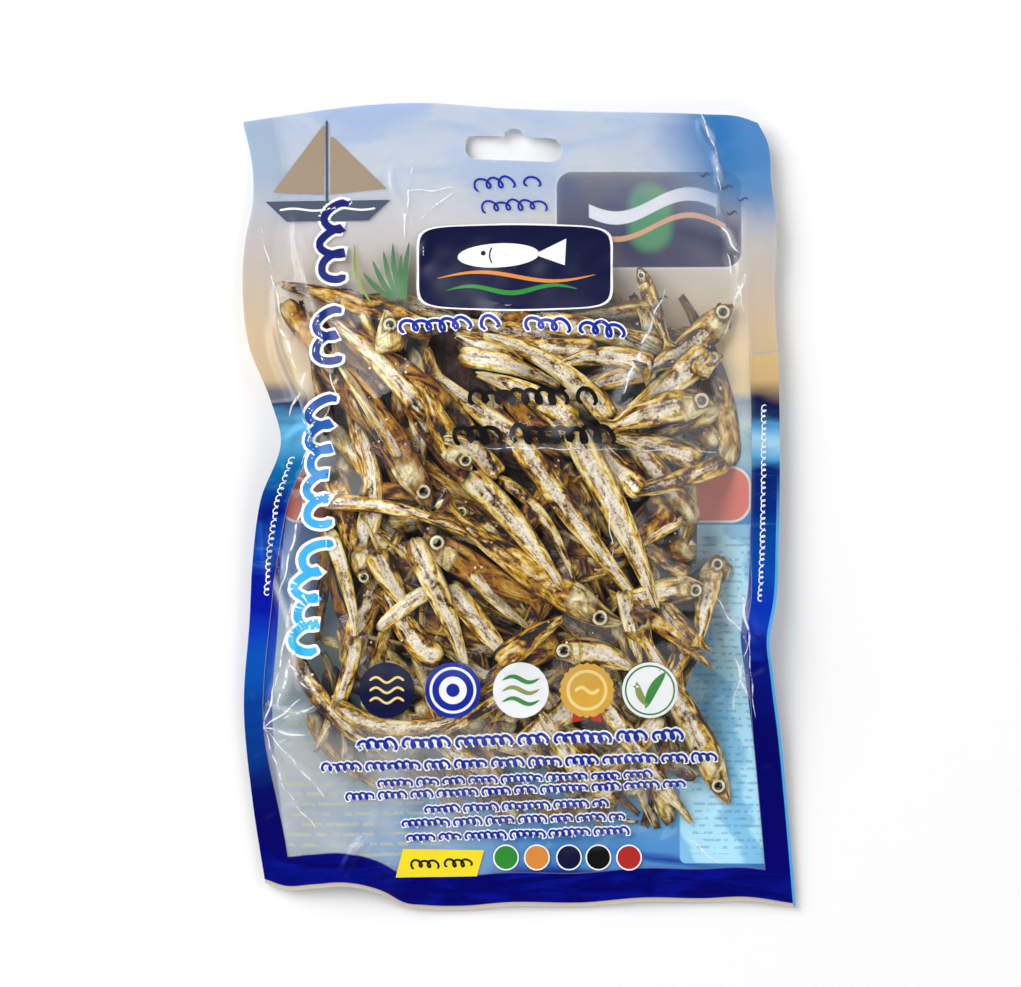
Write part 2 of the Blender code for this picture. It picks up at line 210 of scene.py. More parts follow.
# The fish that show, in the order laid: kind, places in millimetres from the head or thick end,
# depth, how far it is rolled on its back in degrees, and tone from amber at 0 to silver at 1
LAID = [
    ("body", ((-30, 58), (-54, 68), (-80, 75)), 7.9, 10, 0.25),
    ("body", ((26, 53), (0, 58), (-26, 62)), 7.9, 10, 0.45),
    ("body", ((-16, 22), (-26, 38), (-31, 53)), 7.3, 0, 0.3),
    ("body", ((48, 53), (26, 58), (8, 64)), 7.9, -10, 0.6),
    ("whole", ((40, 81), (45, 68), (50, 53)), 5.3, 30, 0.35),
    ("body", ((45, 48), (26, 42), (13, 35)), 7.9, 0, 0.55),
    ("body", ((26, 50), (18, 48), (8, 48)), 4.6, 0, 0.9),
    ("body", ((26, 52), (3, 53), (-21, 58)), 7.9, 0, 0.4),
    ("body", ((-63, 12), (-58, -4), (-55, -21)), 7.3, 0, 0.3),
    ("body", ((-26, -51), (-35, -44), (-45, -28)), 8.6, 0, 0.45),
    ("body", ((13, 12), (7, 2), (-7, -18)), 8.6, 0, 0.1),
    ("body", ((18, -18), (8, -31), (0, -47)), 7.9, 0, 0.3),
    ("body", ((59, -31), (56, -44), (46, -64)), 7.3, 0, 0.35),
    ("body", ((59, -49), (50, -37), (40, -24)), 7.9, 0, 0.35),
    ("body", ((26, -61), (13, -70), (-3, -80)), 8.6, 0, 0.5),
    ("body", ((46, -70), (33, -84), (13, -94)), 7.9, 0, 0.5),
    ("body", ((-7, -97), (-16, -87), (-30, -79)), 7.9, 0, 0.5),
    ("body", ((33, -97), (20, -87), (7, -69)), 8.6, 0, 0.55),
    ("body", ((13, -44), (0, -51), (-16, -64)), 8.6, 0, 0.2),
    ("split", ((-25, 32), (-45, 48), (-65, 63)), 8.6, 0, 0.1),
    ("body", ((-31, 29), (-50, 51), (-69, 66)), 6.3, 20, 0.75),
    ("body", ((0, 22), (-15, 33), (-28, 44)), 6.6, 0, 0.75),
    ("body", ((0, 46), (-10, 52), (-21, 57)), 7.3, 0, 0.35),
    ("body", ((20, 22), (7, 35), (-7, 42)), 7.9, 0, 0.35),
    ("body", ((45, 46), (34, 43), (20, 39)), 6.6, 0, 0.6),
    ("body", ((-20, 50), (-4, 47), (13, 40)), 6.6, 10, 0.75),
    ("body", ((8, 61), (28, 58), (48, 51)), 7.0, 0, 0.7),
    ("body", ((44, 47), (28, 50), (12, 47)), 6.6, 0, 0.65),
    ("body", ((18, 28), (2, 38), (-14, 44)), 7.0, 0, 0.8),
    ("body", ((30, 29), (11, 47), (-12, 57)), 7.0, 0, 0.85),
    ("whole", ((-30, -2), (-42, 22), (-64, 53)), 8.9, 0, 0.15),
    ("body", ((-40, 16), (-55, 40), (-67, 56)), 5.0, 60, 0.95),
    ("head", ((-45, 66), (-44, 58), (-43, 51)), 8.6, 0, 0.95),
    ("whole", ((-16, 12), (-24, 23), (-33, 42)), 7.9, 0, 0.3),
    ("body", ((-7, 10), (-16, 19), (-26, 22)), 7.3, 0, 0.7),
    ("whole", ((72, 68), (58, 55), (40, 44)), 8.9, 0, 0.45),
    ("body", ((63, 52), (48, 39), (31, 27)), 9.2, 0, 0.75),
    ("head", ((69, 51), (63, 48), (59, 44)), 6.6, 0, 0.8),
    ("whole", ((65, 34), (50, 33), (28, 25)), 9.9, 0, 0.55),
    ("body", ((60, 15), (46, 20), (31, 23)), 7.9, 0, 0.4),
    ("body", ((70, 15), (50, 8), (30, 4)), 6.6, 0, 0.35),
    ("body", ((40, 5), (33, 12), (28, 20)), 7.3, 0, 0.4),
    ("split", ((49, 0), (40, -8), (30, -15)), 9.9, 0, 0.25),
    ("body", ((55, -4), (48, -8), (38, -14)), 4.3, 60, 0.9),
    ("body", ((56, -23), (49, -19), (41, -14)), 5.3, 0, 0.3),
    ("whole", ((67, -16), (63, -28), (59, -47)), 7.3, 0, 0.5),
    ("whole", ((62, -27), (50, -28), (30, -31)), 7.9, 0, 0.45),
    ("whole", ((-5, -13), (-16, -8), (-33, -2)), 7.9, 0, 0.35),
    ("head", ((-15, -2), (-21, -1), (-27, -2)), 6.6, 0, 0.6),
    ("whole", ((-32, -10), (-14, -21), (8, -33)), 9.2, 0, 0.12),
    ("body", ((-16, -22), (-7, -32), (3, -40)), 4.6, 30, 0.85),
    ("body", ((-7, 9), (8, -4), (18, -26)), 4.3, 30, 0.4),
    ("whole", ((34, -38), (13, -28), (-26, 0)), 9.6, 0, 0.3),
    ("body", ((-17, 10), (-2, -5), (14, -27)), 7.9, 10, 0.8),
    ("body", ((-1, 22), (15, 0), (40, -33)), 7.3, 0, 0.55),
    ("body", ((17, 25), (33, -4), (45, -33)), 8.9, -10, 0.97),
    ("body", ((-65, 1), (-40, -1), (-18, -9)), 5.3, 30, 0.45),
    ("head", ((-49, -28), (-52, -21), (-54, -14)), 6.6, 0, 0.3),
    ("body", ((-48, -15), (-43, -24), (-36, -35)), 7.9, 0, 0.45),
    ("body", ((-63, -8), (-57, -28), (-54, -44)), 4.6, 0, 0.9),
    ("body", ((-55, -43), (-59, -61), (-69, -83)), 5.3, 0, 0.5),
    ("piece", ((-30, -28), (-38, -33), (-47, -41)), 5.3, 0, 0.99),
    ("body", ((-24, -26), (-13, -39), (-3, -51)), 7.6, 0, 0.75),
    ("body", ((-36, -11), (-26, -31), (-18, -52)), 7.6, 0, 0.9),
    ("body", ((-76, -51), (-61, -71), (-39, -88)), 5.6, 10, 0.35),
    ("body", ((-61, -66), (-41, -74), (-15, -68)), 5.6, 10, 0.5),
    ("body", ((1, -59), (-13, -68), (-30, -78)), 4.6, 20, 0.35),
    ("body", ((-7, -52), (3, -44), (14, -37)), 7.9, 0, 0.3),
    ("whole", ((12, -50), (23, -48), (40, -55)), 8.6, 0, 0.6),
    ("body", ((34, -28), (37, -41), (40, -52)), 5.0, 0, 0.85),
    ("body", ((37, -34), (50, -42), (64, -54)), 5.0, 20, 0.3),
    ("body", ((26, -62), (41, -84), (58, -107)), 6.3, 0, 0.45),
    ("whole", ((71, -101), (58, -74), (39, -40)), 8.6, 0, 0.55),
    ("piece", ((46, -101), (48, -104), (51, -106)), 2.2, 0, 0.6),
    ("piece", ((34, -106), (37, -107), (40, -107)), 1.6, 0, 0.4),
    ("piece", ((24, -105), (27, -107), (29, -110)), 1.8, 0, 0.5),
    ("body", ((-79, 69), (-72, 58), (-63, 45)), 6.4, 10, 0.2),
]

# The fish below those, laid by rule inside this outline
UNDER_OUTLINE = [
    (-74, 74), (-20, 68), (52, 80), (72, 68), (72, 10), (66, -40), (70, -100), (44, -109), (0, -107),
    (-42, -102), (-68, -86), (-73, -50), (-64, -20), (-66, 34),
]
# How far right their ends may lie at each height up the pouch, so that they keep under the fish that show
UNDER_RIGHT_LIMIT = [(-98, 80), (-90, 59), (-74, 53), (-60, 47), (-50, 55), (-40, 80)]
# Their number, depth in millimetres, share of split ones, turn in degrees (middle and spread) and half
# length in millimetres (shortest and longest)
UNDER_COUNT = 190
UNDER_DEPTH = 8.4
UNDER_SPLIT_SHARE = 0.08
UNDER_TURN = (-52, 34)
UNDER_HALF_LENGTH = (17, 31)

# The room that fish leave under the pouch's front, and how far below that they may lie, which for those
# that show shrinks from the first laid to the last
UNDER_ROOM, UNDER_REACH = 6.5 * MM, 6.0 * MM
LAID_ROOM, LAID_REACH = -1.0 * MM, (9.0 * MM, 4.0 * MM)
# How much deeper those that show are than written, and the height in millimetres that they are seen at
LAID_WIDER = 1.12
LAID_HEIGHT = 24.0
# How far each sinks into those under it, and how far its points and the heap's floor keep off the back film
REST_SINK = 1.3 * MM
OFF_BACK_FILM = 0.5 * MM
FLOOR_OFF_BACK = 0.4 * MM
# The cells of the heap's height, and how many times it is smoothed to shade what lies under it
CELL = 1.0 * MM
COVER_STEPS = 36

# The lump in the middle, for the fish that nothing shows of
CORE_MIDDLE = (0.0, -10.0 * MM)
CORE_HALF = (58.0 * MM, 74.0 * MM)
CORE_UNDER_FRONT = 12.5 * MM
CORE_UNDER_BACK = 1.0 * MM
CORE_STEP = 2


def smooth_step(value):
    """0 below 0 and 1 above 1, with a smooth rise between."""
    t = np.clip(value, 0.0, 1.0)
    return t * t * (3.0 - 2.0 * t)


# The film's form


def edge_curve(points, axis, share):
    """Points at each share of an edge's length along axis, on a smooth curve through the edge's points."""
    points = np.array(points) * MM
    stops = points[:, axis]
    slopes = np.gradient(points, stops, axis=0)
    at = stops[0] + share * (stops[-1] - stops[0])
    i = np.clip(np.searchsorted(stops, at) - 1, 0, len(stops) - 2)
    gap = (stops[i + 1] - stops[i])[:, None]
    t = (at - stops[i])[:, None] / gap
    start = points[i] * (1 + 2 * t) * (1 - t) ** 2 + slopes[i] * gap * t * (1 - t) ** 2
    end = points[i + 1] * t**2 * (3 - 2 * t) + slopes[i + 1] * gap * t**2 * (t - 1)
    return start + end


def seal_surface(cells):
    """The surface that the two films are sealed on, spread between the four edges."""
    across, along = np.linspace(0, 1, cells[0] + 1), np.linspace(0, 1, cells[1] + 1)
    u, v = across[None, :, None], along[:, None, None]
    left, right = (edge_curve(e, 1, along)[:, None, :] for e in (LEFT_EDGE, RIGHT_EDGE))
    bottom, top = (edge_curve(e, 0, across)[None, :, :] for e in (BOTTOM_EDGE, TOP_EDGE))
    corners = (
        left[0] * (1 - u) * (1 - v) + right[0] * u * (1 - v) + left[-1] * (1 - u) * v + right[-1] * u * v
    )
    return left * (1 - u) + right * u + bottom * (1 - v) + top * v - corners


def edge_distances(surface):
    """How far each point is from the left, right, bottom and top edges."""
    x, y = surface[:, :, 0], surface[:, :, 1]
    return x - x[:, :1], x[:, -1:] - x, y - y[:1], y[-1:] - y


def inside_seals(surface):
    """How far each point is inside the nearest seal, and 0 on the seals and the header."""
    left, right, bottom, top = edge_distances(surface)
    side = np.minimum(left, right) - SIDE_SEAL
    end = np.minimum(bottom - BOTTOM_SEAL, top - HEADER)
    return np.maximum(side, 0) * np.maximum(end, 0) / np.maximum(side + end, 1e-6)


def heap(x, y):
    """Height of the heap of fish over the seals."""
    across = (x - HEAP_MIDDLE[0]) / HEAP_HALF_WIDTH
    along = (y - HEAP_MIDDLE[1]) / HEAP_HALF_LENGTH
    spread = np.clip(np.abs(across) ** 2.6 + np.abs(along) ** 2.2, 0, 1)
    return HEAP_HEIGHT * (1 - spread) ** 0.85


def pillow_heights(surface):
    """Heights of the front and back films as the solid has them, without the fish."""
    x, y, seal = surface[:, :, 0], surface[:, :, 1], surface[:, :, 2]
    opened = smooth_step(inside_seals(surface) / BACK_ROLL)
    front = seal + FILM_PAIR / 2 + SLACK * np.sqrt(opened) + opened * heap(x, y)
    back = (seal - FILM_PAIR / 2) * (1 - opened)
    return front, back


def neighbour_mean(z):
    """Each inner point's mean of the four round it."""
    out = z.copy()
    out[1:-1, 1:-1] = (z[:-2, 1:-1] + z[2:, 1:-1] + z[1:-1, :-2] + z[1:-1, 2:]) / 4
    return out


def settled(z, floor, free, cell, steps):
    """A film that sags between what it touches, over a grid whose cells are this many millimetres."""
    fall = FILM_SAG * cell**2 / 4 * MM
    held = z.copy()
    for _ in range(steps):
        z = np.where(free, np.maximum(neighbour_mean(z) - fall, floor), held)
    return z


def drawn_down(start, floor, free):
    """The film drawn down on the fish: over wide cells first, then over its own."""
    step = WIDE_STEP
    rows, columns = (n // step * step for n in start.shape)
    blocks = floor[:rows, :columns].reshape(rows // step, step, columns // step, step)
    wide_start, wide_free = (a[:rows, :columns][step // 2::step, step // 2::step] for a in (start, free))
    wide = settled(wide_start, blocks.max(axis=(1, 3)), wide_free, FILM_CELL * step, WIDE_STEPS)
    row = np.clip((np.arange(start.shape[0]) - step / 2) / step, 0, wide.shape[0] - 1.001)
    column = np.clip((np.arange(start.shape[1]) - step / 2) / step, 0, wide.shape[1] - 1.001)
    r, c = row.astype(int)[:, None], column.astype(int)[None, :]
    u, v = (row - row.astype(int))[:, None], (column - column.astype(int))[None, :]
    fine = (wide[r, c] * (1 - u) + wide[r + 1, c] * u) * (1 - v)
    fine += (wide[r, c + 1] * (1 - u) + wide[r + 1, c + 1] * u) * v
    return settled(np.where(free, fine, start), floor, free, FILM_CELL, FILM_STEPS)


def line_share(x, y, start, end, bow=0.5):
    """How far along a line each point is, from 0 to 1, and how far off it, with a wave of bow millimetres."""
    start, end = np.array(start) * MM, np.array(end) * MM
    run = end - start
    share = ((x - start[0]) * run[0] + (y - start[1]) * run[1]) / (run @ run)
    near = start + np.clip(share, 0, 1)[..., None] * run
    wave = bow * MM * np.sin(share * 7.0)
    return share, np.hypot(x - near[..., 0] + wave, y - near[..., 1] + wave * 0.4)


def fold_relief(x, y):
    """How far the sharp folds stand out of the front film."""
    relief = np.zeros_like(x)
    for start, end, height, half in FOLDS:
        share, off = line_share(x, y, start, end, 1.2)
        taper = np.clip(1.15 - np.abs(2 * np.clip(share, 0, 1) - 1) ** 3, 0, 1)
        relief = np.maximum(relief, height * MM * taper * np.clip(1 - off / (half * MM), 0, 1) ** 1.4)
    return relief


def crease_glint(x, y):
    """How strong the painted white highlight is along the film's fine creases."""
    white = np.zeros_like(x)
    for start, end, half, strength in CREASES:
        share, off = line_share(x, y, start, end)
        taper = np.clip(1.2 - np.abs(2 * np.clip(share, 0, 1) - 1) ** 2, 0.2, 1)
        white = np.maximum(white, strength * taper * np.clip(1.2 - off / ((half + CREASE_SOFT) * MM), 0, 1))
    return white


def ripples(x, y, seed, finest, coarsest, count=14):
    """Smooth uneven waves between two lengths in millimetres, from about -1 to 1."""
    rng = np.random.default_rng(seed)
    total = np.zeros_like(x)
    for _ in range(count):
        length = rng.uniform(finest, coarsest) * MM
        turn = rng.uniform(0, math.tau)
        along = (x * math.cos(turn) + y * math.sin(turn)) / length
        total += np.sin(math.tau * along + rng.uniform(0, math.tau))
    return total / math.sqrt(count)


# The slot


def slot_distance(x, y):
    """How far each point is outside the slot's outline, below 0 inside it."""
    c, s = math.cos(-SLOT_TILT), math.sin(-SLOT_TILT)
    dx, dy = x - SLOT_MIDDLE[0], y - SLOT_MIDDLE[1]
    u, v = dx * c - dy * s, dx * s + dy * c
    end = SLOT_HEIGHT / 2
    run = SLOT_WIDTH / 2 - end
    bar = np.hypot(u - np.clip(u, -run, run), v) - end
    notch = np.hypot(u, v - (end - SLOT_NOTCH_RADIUS * 0.25)) - SLOT_NOTCH_RADIUS
    return np.minimum(bar, notch)


def snapped_to_slot(x, y, reach):
    """The points, with those near the slot's outline moved onto it."""
    step = 0.01 * MM
    off = slot_distance(x, y)
    gx = (slot_distance(x + step, y) - off) / step
    gy = (slot_distance(x, y + step) - off) / step
    near = np.abs(off) < reach
    return x - np.where(near, off * gx, 0), y - np.where(near, off * gy, 0)


# Meshes


def grid_faces(rows, columns, first=0, closed=False):
    """The four corners of each face of a grid of points, its last column joined to its first if closed."""
    index = first + np.arange(rows * columns).reshape(rows, columns)
    if closed:
        index = np.concatenate([index, index[:, :1]], axis=1)
    return np.stack([index[:-1, :-1], index[:-1, 1:], index[1:, 1:], index[1:, :-1]], axis=-1)


def mesh_object(name, points, faces, slots=None):
    """An object of points and faces, each face with the number of its material."""
    mesh = bpy.data.meshes.new(name)
    mesh.from_pydata(points.tolist(), [], faces if isinstance(faces, list) else faces.reshape(-1, 4).tolist())
    if slots is not None:
        mesh.polygons.foreach_set("material_index", np.asarray(slots, dtype=np.int32).ravel())
    mesh.shade_smooth()
    thing = bpy.data.objects.new(name, mesh)
    bpy.context.scene.collection.objects.link(thing)
    return thing


def drop_loose_points(thing):
    """Takes out the points that no face uses."""
    bm = bmesh.new()
    bm.from_mesh(thing.data)
    bmesh.ops.delete(bm, geom=[v for v in bm.verts if not v.link_faces], context="VERTS")
    bm.to_mesh(thing.data)
    bm.free()


def points_of(thing):
    """The points of an object's mesh, one to a row."""
    flat = np.empty(len(thing.data.vertices) * 3)
    thing.data.vertices.foreach_get("co", flat)
    return flat.reshape(-1, 3)


def set_values(thing, name, values, kind="FLOAT", field="value"):
    """Keeps a number, colour or vector for each point of a mesh, under a name that its material reads."""
    kept = thing.data.attributes.new(name, kind, "POINT")
    kept.data.foreach_set(field, np.asarray(values, dtype=np.float32).ravel())


# One fish


def line_at(line, share):
    """A smooth reading of one of the fish's outlines."""
    stops, sizes = np.array(line).T
    fine = np.linspace(0, 1, 401)
    wide = np.interp(fine, stops, sizes)
    kernel = np.hanning(13)
    soft = np.convolve(np.pad(wide, 6, mode="edge"), kernel / kernel.sum(), mode="valid")
    return np.interp(share, fine, soft)


def fish_rings(kind, length, depth, rng):
    """The skin of one fish before it is bent, in rings from nose to tail, with its marks.

    Each point is along the fish, up towards its back and out of its side. length is a whole fish's.
    The marks are silver band, pale plate, dark line and how far up the fish, for the material, which paints
    shade along the back and belly from the last.
    """
    start, end, rings, sides = KINDS[kind]
    share = np.linspace(0, 1, rings)
    if kind in ("whole", "head"):
        share = share ** (1.25 if kind == "whole" else 1.0)
    share = start + share * (end - start)
    turn = np.linspace(0, math.tau, sides, endpoint=False)
    s, a = share[:, None], turn[None, :]
    up, out = np.cos(a), np.sin(a)
    high = np.where(up > 0, line_at(BACK_LINE, s), line_at(BELLY_LINE, s)) * depth
    side = line_at(SIDE_LINE, s) * depth
    body = smooth_step((s - HEAD) / 0.06) * smooth_step((TAIL_FIN - s) / 0.05)
    head = 1 - smooth_step((s - HEAD + 0.01) / 0.015)
    sunk = 1 - (0.22 + 0.15 * rng.random()) * body * np.exp(-((up / 0.38) ** 2))
    waves = sum(
        rng.uniform(0.012, 0.03) * np.sin(k * a + rng.uniform(0, 6) + rng.uniform(4, 22) * s)
        for k in (2, 3, 5, 7)
    )
    round_x = np.sign(up) * np.abs(up) ** 0.92
    round_z = np.sign(out) * np.abs(out) ** 0.85
    y = high * round_x * (1 + waves)
    z = side * round_z * (sunk + waves * 1.6)
    x = s * length + 0 * a
    if kind == "split":
        y = y * 1.12
        cup = (np.abs(y) / (0.5 * depth)) ** 2
        z = z * 0.32 + 0.16 * depth * cup * (0.7 + 0.6 * np.sin(9 * s + rng.uniform(0, 6)))
    lobe = smooth_step((s - TAIL_FIN) / (1 - TAIL_FIN))
    x = x + FORK * length * lobe * (np.abs(up) ** 1.2 - 0.55)
    ragged_start, ragged_end = kind != "whole" and kind != "head", kind != "whole"
    tear = sum(rng.uniform(0.1, 0.42) * np.sin(k * a + rng.uniform(0, 6)) for k in (1, 2, 3, 5)) * MM
    torn = 1 - 0.45 * np.exp(-(s - start) / 0.022) * ragged_start
    torn = torn * (1 - 0.35 * np.exp(-(end - s) / 0.018) * ragged_end)
    y, z = y * torn, z * torn
    if ragged_start:
        x = x + tear * np.exp(-(s - start) / 0.03)
    if ragged_end:
        x = x + tear[:, ::-1] * np.exp(-(end - s) / 0.025)
    jaw = np.exp(-(((y / depth + 0.03 + s * 1.05) / 0.026) ** 2)) * (s < 0.17) * (s > 0.012)
    cover_edge = np.exp(-(((s - HEAD + 0.03 * (y / depth) ** 2 * 8 + 0.004) / 0.010) ** 2))
    cheek = np.exp(-(((s - 0.185 + 0.1 * (y / depth + 0.1)) / 0.007) ** 2)) * (y / depth > -0.4)
    plate = (0.4 + 0.6 * smooth_step((s - 0.155) / 0.03)) * head * smooth_step((0.34 - y / depth) / 0.2)
    z = z - np.sign(out) * depth * (0.045 * jaw + 0.030 * cheek) * head
    z = z + np.sign(out) * depth * 0.035 * smooth_step((plate - 0.4) / 0.6)
    middle = 0.06 - 0.05 * s
    band = np.exp(-(((y / np.maximum(high, 1e-5) - middle) / 0.42) ** 4)) * body * (np.abs(out) > 0.3)
    eye_off = np.hypot((s - EYE_AT[0]) * length, y - EYE_AT[1] * depth)
    socket = np.exp(-(((eye_off - EYE_RADIUS * 1.15) / (0.5 * MM)) ** 2)) * (s < 0.2)
    dark = np.clip(jaw + 0.8 * cover_edge + 0.6 * cheek * head + socket + 0.5 * lobe, 0, 1)
    if kind in ("body", "piece", "split", "under"):
        dark = np.clip(dark + 1.2 * np.exp(-(s - start) / 0.012), 0, 1)
    if ragged_end and kind != "body":
        dark = np.clip(dark + 0.9 * np.exp(-(end - s) / 0.012), 0, 1)
    points = np.stack([x - start * length, y + 0 * s, z + 0 * s], axis=-1)
    marks = np.stack(np.broadcast_arrays(band, plate, dark, y / depth + 0.5), axis=-1)
    return points, marks


def eye_rings(length, depth, side):
    """One eye's rings from rim to middle, placed on the head, and its marks from 0 in the pupil to 1."""
    radii = np.array([1.0, 0.93, 0.74, 0.50, 0.40, 0.22, 0.03])
    rise = np.array([-0.35, 0.02, 0.13, 0.14, 0.19, 0.27, 0.29]) * EYE_RADIUS
    turn = np.linspace(0, math.tau, EYE_SIDES, endpoint=False)
    r = radii[:, None] * EYE_RADIUS * (depth / EYE_DEPTH)
    x = EYE_AT[0] * length + r * np.cos(turn)
    y = EYE_AT[1] * depth + r * np.sin(turn) * side
    seat = line_at(SIDE_LINE, np.array(EYE_AT[0])) * depth * 0.93
    z = side * (seat + rise[:, None] + 0 * turn)
    return np.stack(np.broadcast_arrays(x, y, z), axis=-1), radii[:, None] + 0 * turn


def spine(places, share):
    """The fish's run across the table at each share of its length, on a smooth curve through its places."""
    a, b, c = np.array(places, dtype=float) * MM
    b = 2 * b - (a + c) / 2
    t = np.linspace(0, 1, 120)[:, None]
    curve = a * (1 - t) ** 2 + 2 * b * t * (1 - t) + c * t**2
    run = np.concatenate([[0], np.cumsum(np.hypot(*np.diff(curve, axis=0).T))])
    at = np.clip(share, 0, 1) * run[-1]
    return np.stack([np.interp(at, run, curve[:, k]) for k in (0, 1)], axis=-1), run[-1]


class Heap:
    """The height of what lies in the pouch, cell by cell, and the fish laid on it so far."""

    def __init__(self, floor, ceiling, back, low):
        self.height, self.ceiling, self.back, self.low = floor, ceiling, back, low

    def cell(self, x, y):
        """The row and column of the cell that each place is in."""
        rows, columns = self.height.shape
        column = np.clip(((x - self.low[0]) / CELL).astype(int), 0, columns - 1)
        row = np.clip(((y - self.low[1]) / CELL).astype(int), 0, rows - 1)
        return row, column

    def support(self, path, across, half):
        """The highest thing under each point of a path, out to near its half width on both sides."""
        found = np.full(len(path), -1.0)
        for off in (-0.75, -0.4, 0.0, 0.4, 0.75):
            at = path + across * (half * off)[:, None]
            found = np.maximum(found, self.height[self.cell(at[:, 0], at[:, 1])] - abs(off) * 0.8 * MM)
        return found

    def ceiling_at(self, path):
        """The height of the pouch's front over a path."""
        return self.ceiling[self.cell(path[:, 0], path[:, 1])]

    def back_at(self, x, y):
        """The height of the back film under each place."""
        return self.back[self.cell(x, y)]

    def add(self, points):
        """Raises the heap where a fish now lies."""
        flat = points.reshape(-1, 3)
        np.maximum.at(self.height, self.cell(flat[:, 0], flat[:, 1]), flat[:, 2])


class Shoal:
    """The meshes of the fish of one kind, gathered into one piece."""

    def __init__(self):
        self.points, self.faces, self.slots, self.marks = [], [], [], []
        self.tones, self.prints = [], []
        self.count = 0

    def add_rings(self, points, marks, tone, along, slot, flip, caps=True):
        """Adds rings of points as a skin, with its ends shut by a fan."""
        rings, sides = points.shape[:2]
        faces = grid_faces(rings, sides, self.count, closed=True).reshape(-1, 4)
        every, seen = [points.reshape(-1, 3)], [marks.reshape(-1, 4)]
        far = [np.stack(along, axis=-1).reshape(-1, 3)]
        fans = []
        if caps:
            for ring, turned in ((0, False), (rings - 1, True)):
                middle = self.count + rings * sides + len(fans)
                every.append(points[ring].mean(0)[None])
                seen.append(marks[ring].mean(0)[None])
                far.append(np.stack([v[ring].mean() for v in along])[None])
                edge = self.count + ring * sides + np.arange(sides)
                fan = np.stack([np.roll(edge, -1), edge, np.full(sides, middle)], axis=-1)
                fans.append(fan[:, ::-1] if turned else fan)
        every = np.concatenate(every)
        if flip:
            faces = faces[:, ::-1]
            fans = [fan[:, ::-1] for fan in fans]
        self.points.append(every)
        self.marks.append(np.concatenate(seen))
        self.prints.append(np.concatenate(far))
        self.tones.append(np.full(len(every), tone))
        self.faces += faces.tolist()
        for fan in fans:
            self.faces += fan.tolist()
        self.slots += [slot] * (len(faces) + sum(len(f) for f in fans))
        self.count += len(every)

    def build(self, name, materials, cover, cell):
        """The piece. cover is how high the heap stands round each cell, which shades what lies under it."""
        every = np.concatenate(self.points)
        thing = mesh_object(name, every, self.faces, self.slots)
        set_values(thing, "marks", np.concatenate(self.marks), "FLOAT_COLOR", "color")
        set_values(thing, "tone", np.concatenate(self.tones))
        # How far each point lies under the smoothed top of the heap, in millimetres, from which the skin
        # paints shade
        set_values(thing, "deep", (cover[cell(every[:, 0], every[:, 1])] - every[:, 2]) / MM)
        set_values(thing, "skin", np.concatenate(self.prints), "FLOAT_VECTOR", "vector")
        for material in materials:
            thing.data.materials.append(material)
        return thing


def lay_fish(heap_map, shoals, room, reach, kind, places, depth, roll, tone, rng, flip):
    """Bends one fish along its places, rests it on what is under it and adds it to its piece."""
    start, end = KINDS[kind][:2]
    _, run = spine(places, np.array([0.0]))
    length = run / (end - start)
    depth = depth * MM
    skin, marks = fish_rings(kind, length, depth, rng)
    share = (skin[:, :, 0] / run).mean(axis=1)
    at, _ = spine(places, share)
    ahead, _ = spine(places, share + 0.02)
    behind, _ = spine(places, share - 0.02)
    heading = (ahead - behind) / np.linalg.norm(ahead - behind, axis=1, keepdims=True)
    across = np.stack([-heading[:, 1], heading[:, 0]], axis=-1)
    turn = math.radians(roll)
    half_deep = np.abs(skin[:, :, 1]).max(axis=1)
    half_side = np.abs(skin[:, :, 2]).max(axis=1)
    wide = np.hypot(half_deep * math.cos(turn), half_side * math.sin(turn))
    tall = np.hypot(half_deep * math.sin(turn), half_side * math.cos(turn))
    rest = heap_map.support(at, across, wide) + tall
    trend = np.polynomial.Polynomial.fit(share, rest, 3)(share)
    lift = np.percentile(rest - trend, 88)
    z = trend + max(lift, 0) - REST_SINK
    highest = heap_map.ceiling_at(at) - tall - room
    z = np.clip(z, highest - reach, highest)
    z = np.maximum(z, heap_map.back_at(at[:, 0], at[:, 1]) + tall * 0.7)
    soft = np.hanning(9) / np.hanning(9).sum()
    z = np.convolve(np.pad(z, 4, mode="edge"), soft, mode="valid")
    mirror = -1.0 if flip else 1.0

    def bent(local):
        shift = np.clip(local[:, :, 0] / run, -0.05, 1.05)
        x = np.interp(shift, share, at[:, 0])
        y = np.interp(shift, share, at[:, 1])
        beyond = local[:, :, 0] - np.clip(local[:, :, 0], share[0] * run, share[-1] * run)
        hx, hy = np.interp(shift, share, heading[:, 0]), np.interp(shift, share, heading[:, 1])
        sx, sy = np.interp(shift, share, across[:, 0]), np.interp(shift, share, across[:, 1])
        up = np.interp(shift, share, z)
        wide_by = (local[:, :, 1] * math.cos(turn) - local[:, :, 2] * math.sin(turn)) * mirror
        high_by = local[:, :, 1] * math.sin(turn) + local[:, :, 2] * math.cos(turn)
        x, y = x + sx * wide_by + hx * beyond, y + sy * wide_by + hy * beyond
        lowest = heap_map.back_at(x, y) + OFF_BACK_FILM
        return np.stack([x, y, np.maximum(up + high_by, lowest)], -1)

    shoal = shoals[kind]
    placed = bent(skin)
    seed = rng.uniform(0, 400)
    girth = np.linspace(0, depth * 2.4, skin.shape[1])[None, :] + 0 * skin[:, :, 0]
    along = (skin[:, :, 0] + seed * MM, girth, np.full_like(girth, seed))
    shoal.add_rings(placed, marks, tone, along, 0, flip)
    heap_map.add(placed)
    if kind in ("whole", "head"):
        for side in (1, -1):
            eye, rim = eye_rings(length, depth, side)
            seen = np.stack([rim, rim, rim, rim], axis=-1)
            shoal.add_rings(bent(eye), seen, tone, (rim, rim, rim), 1, flip, caps=False)


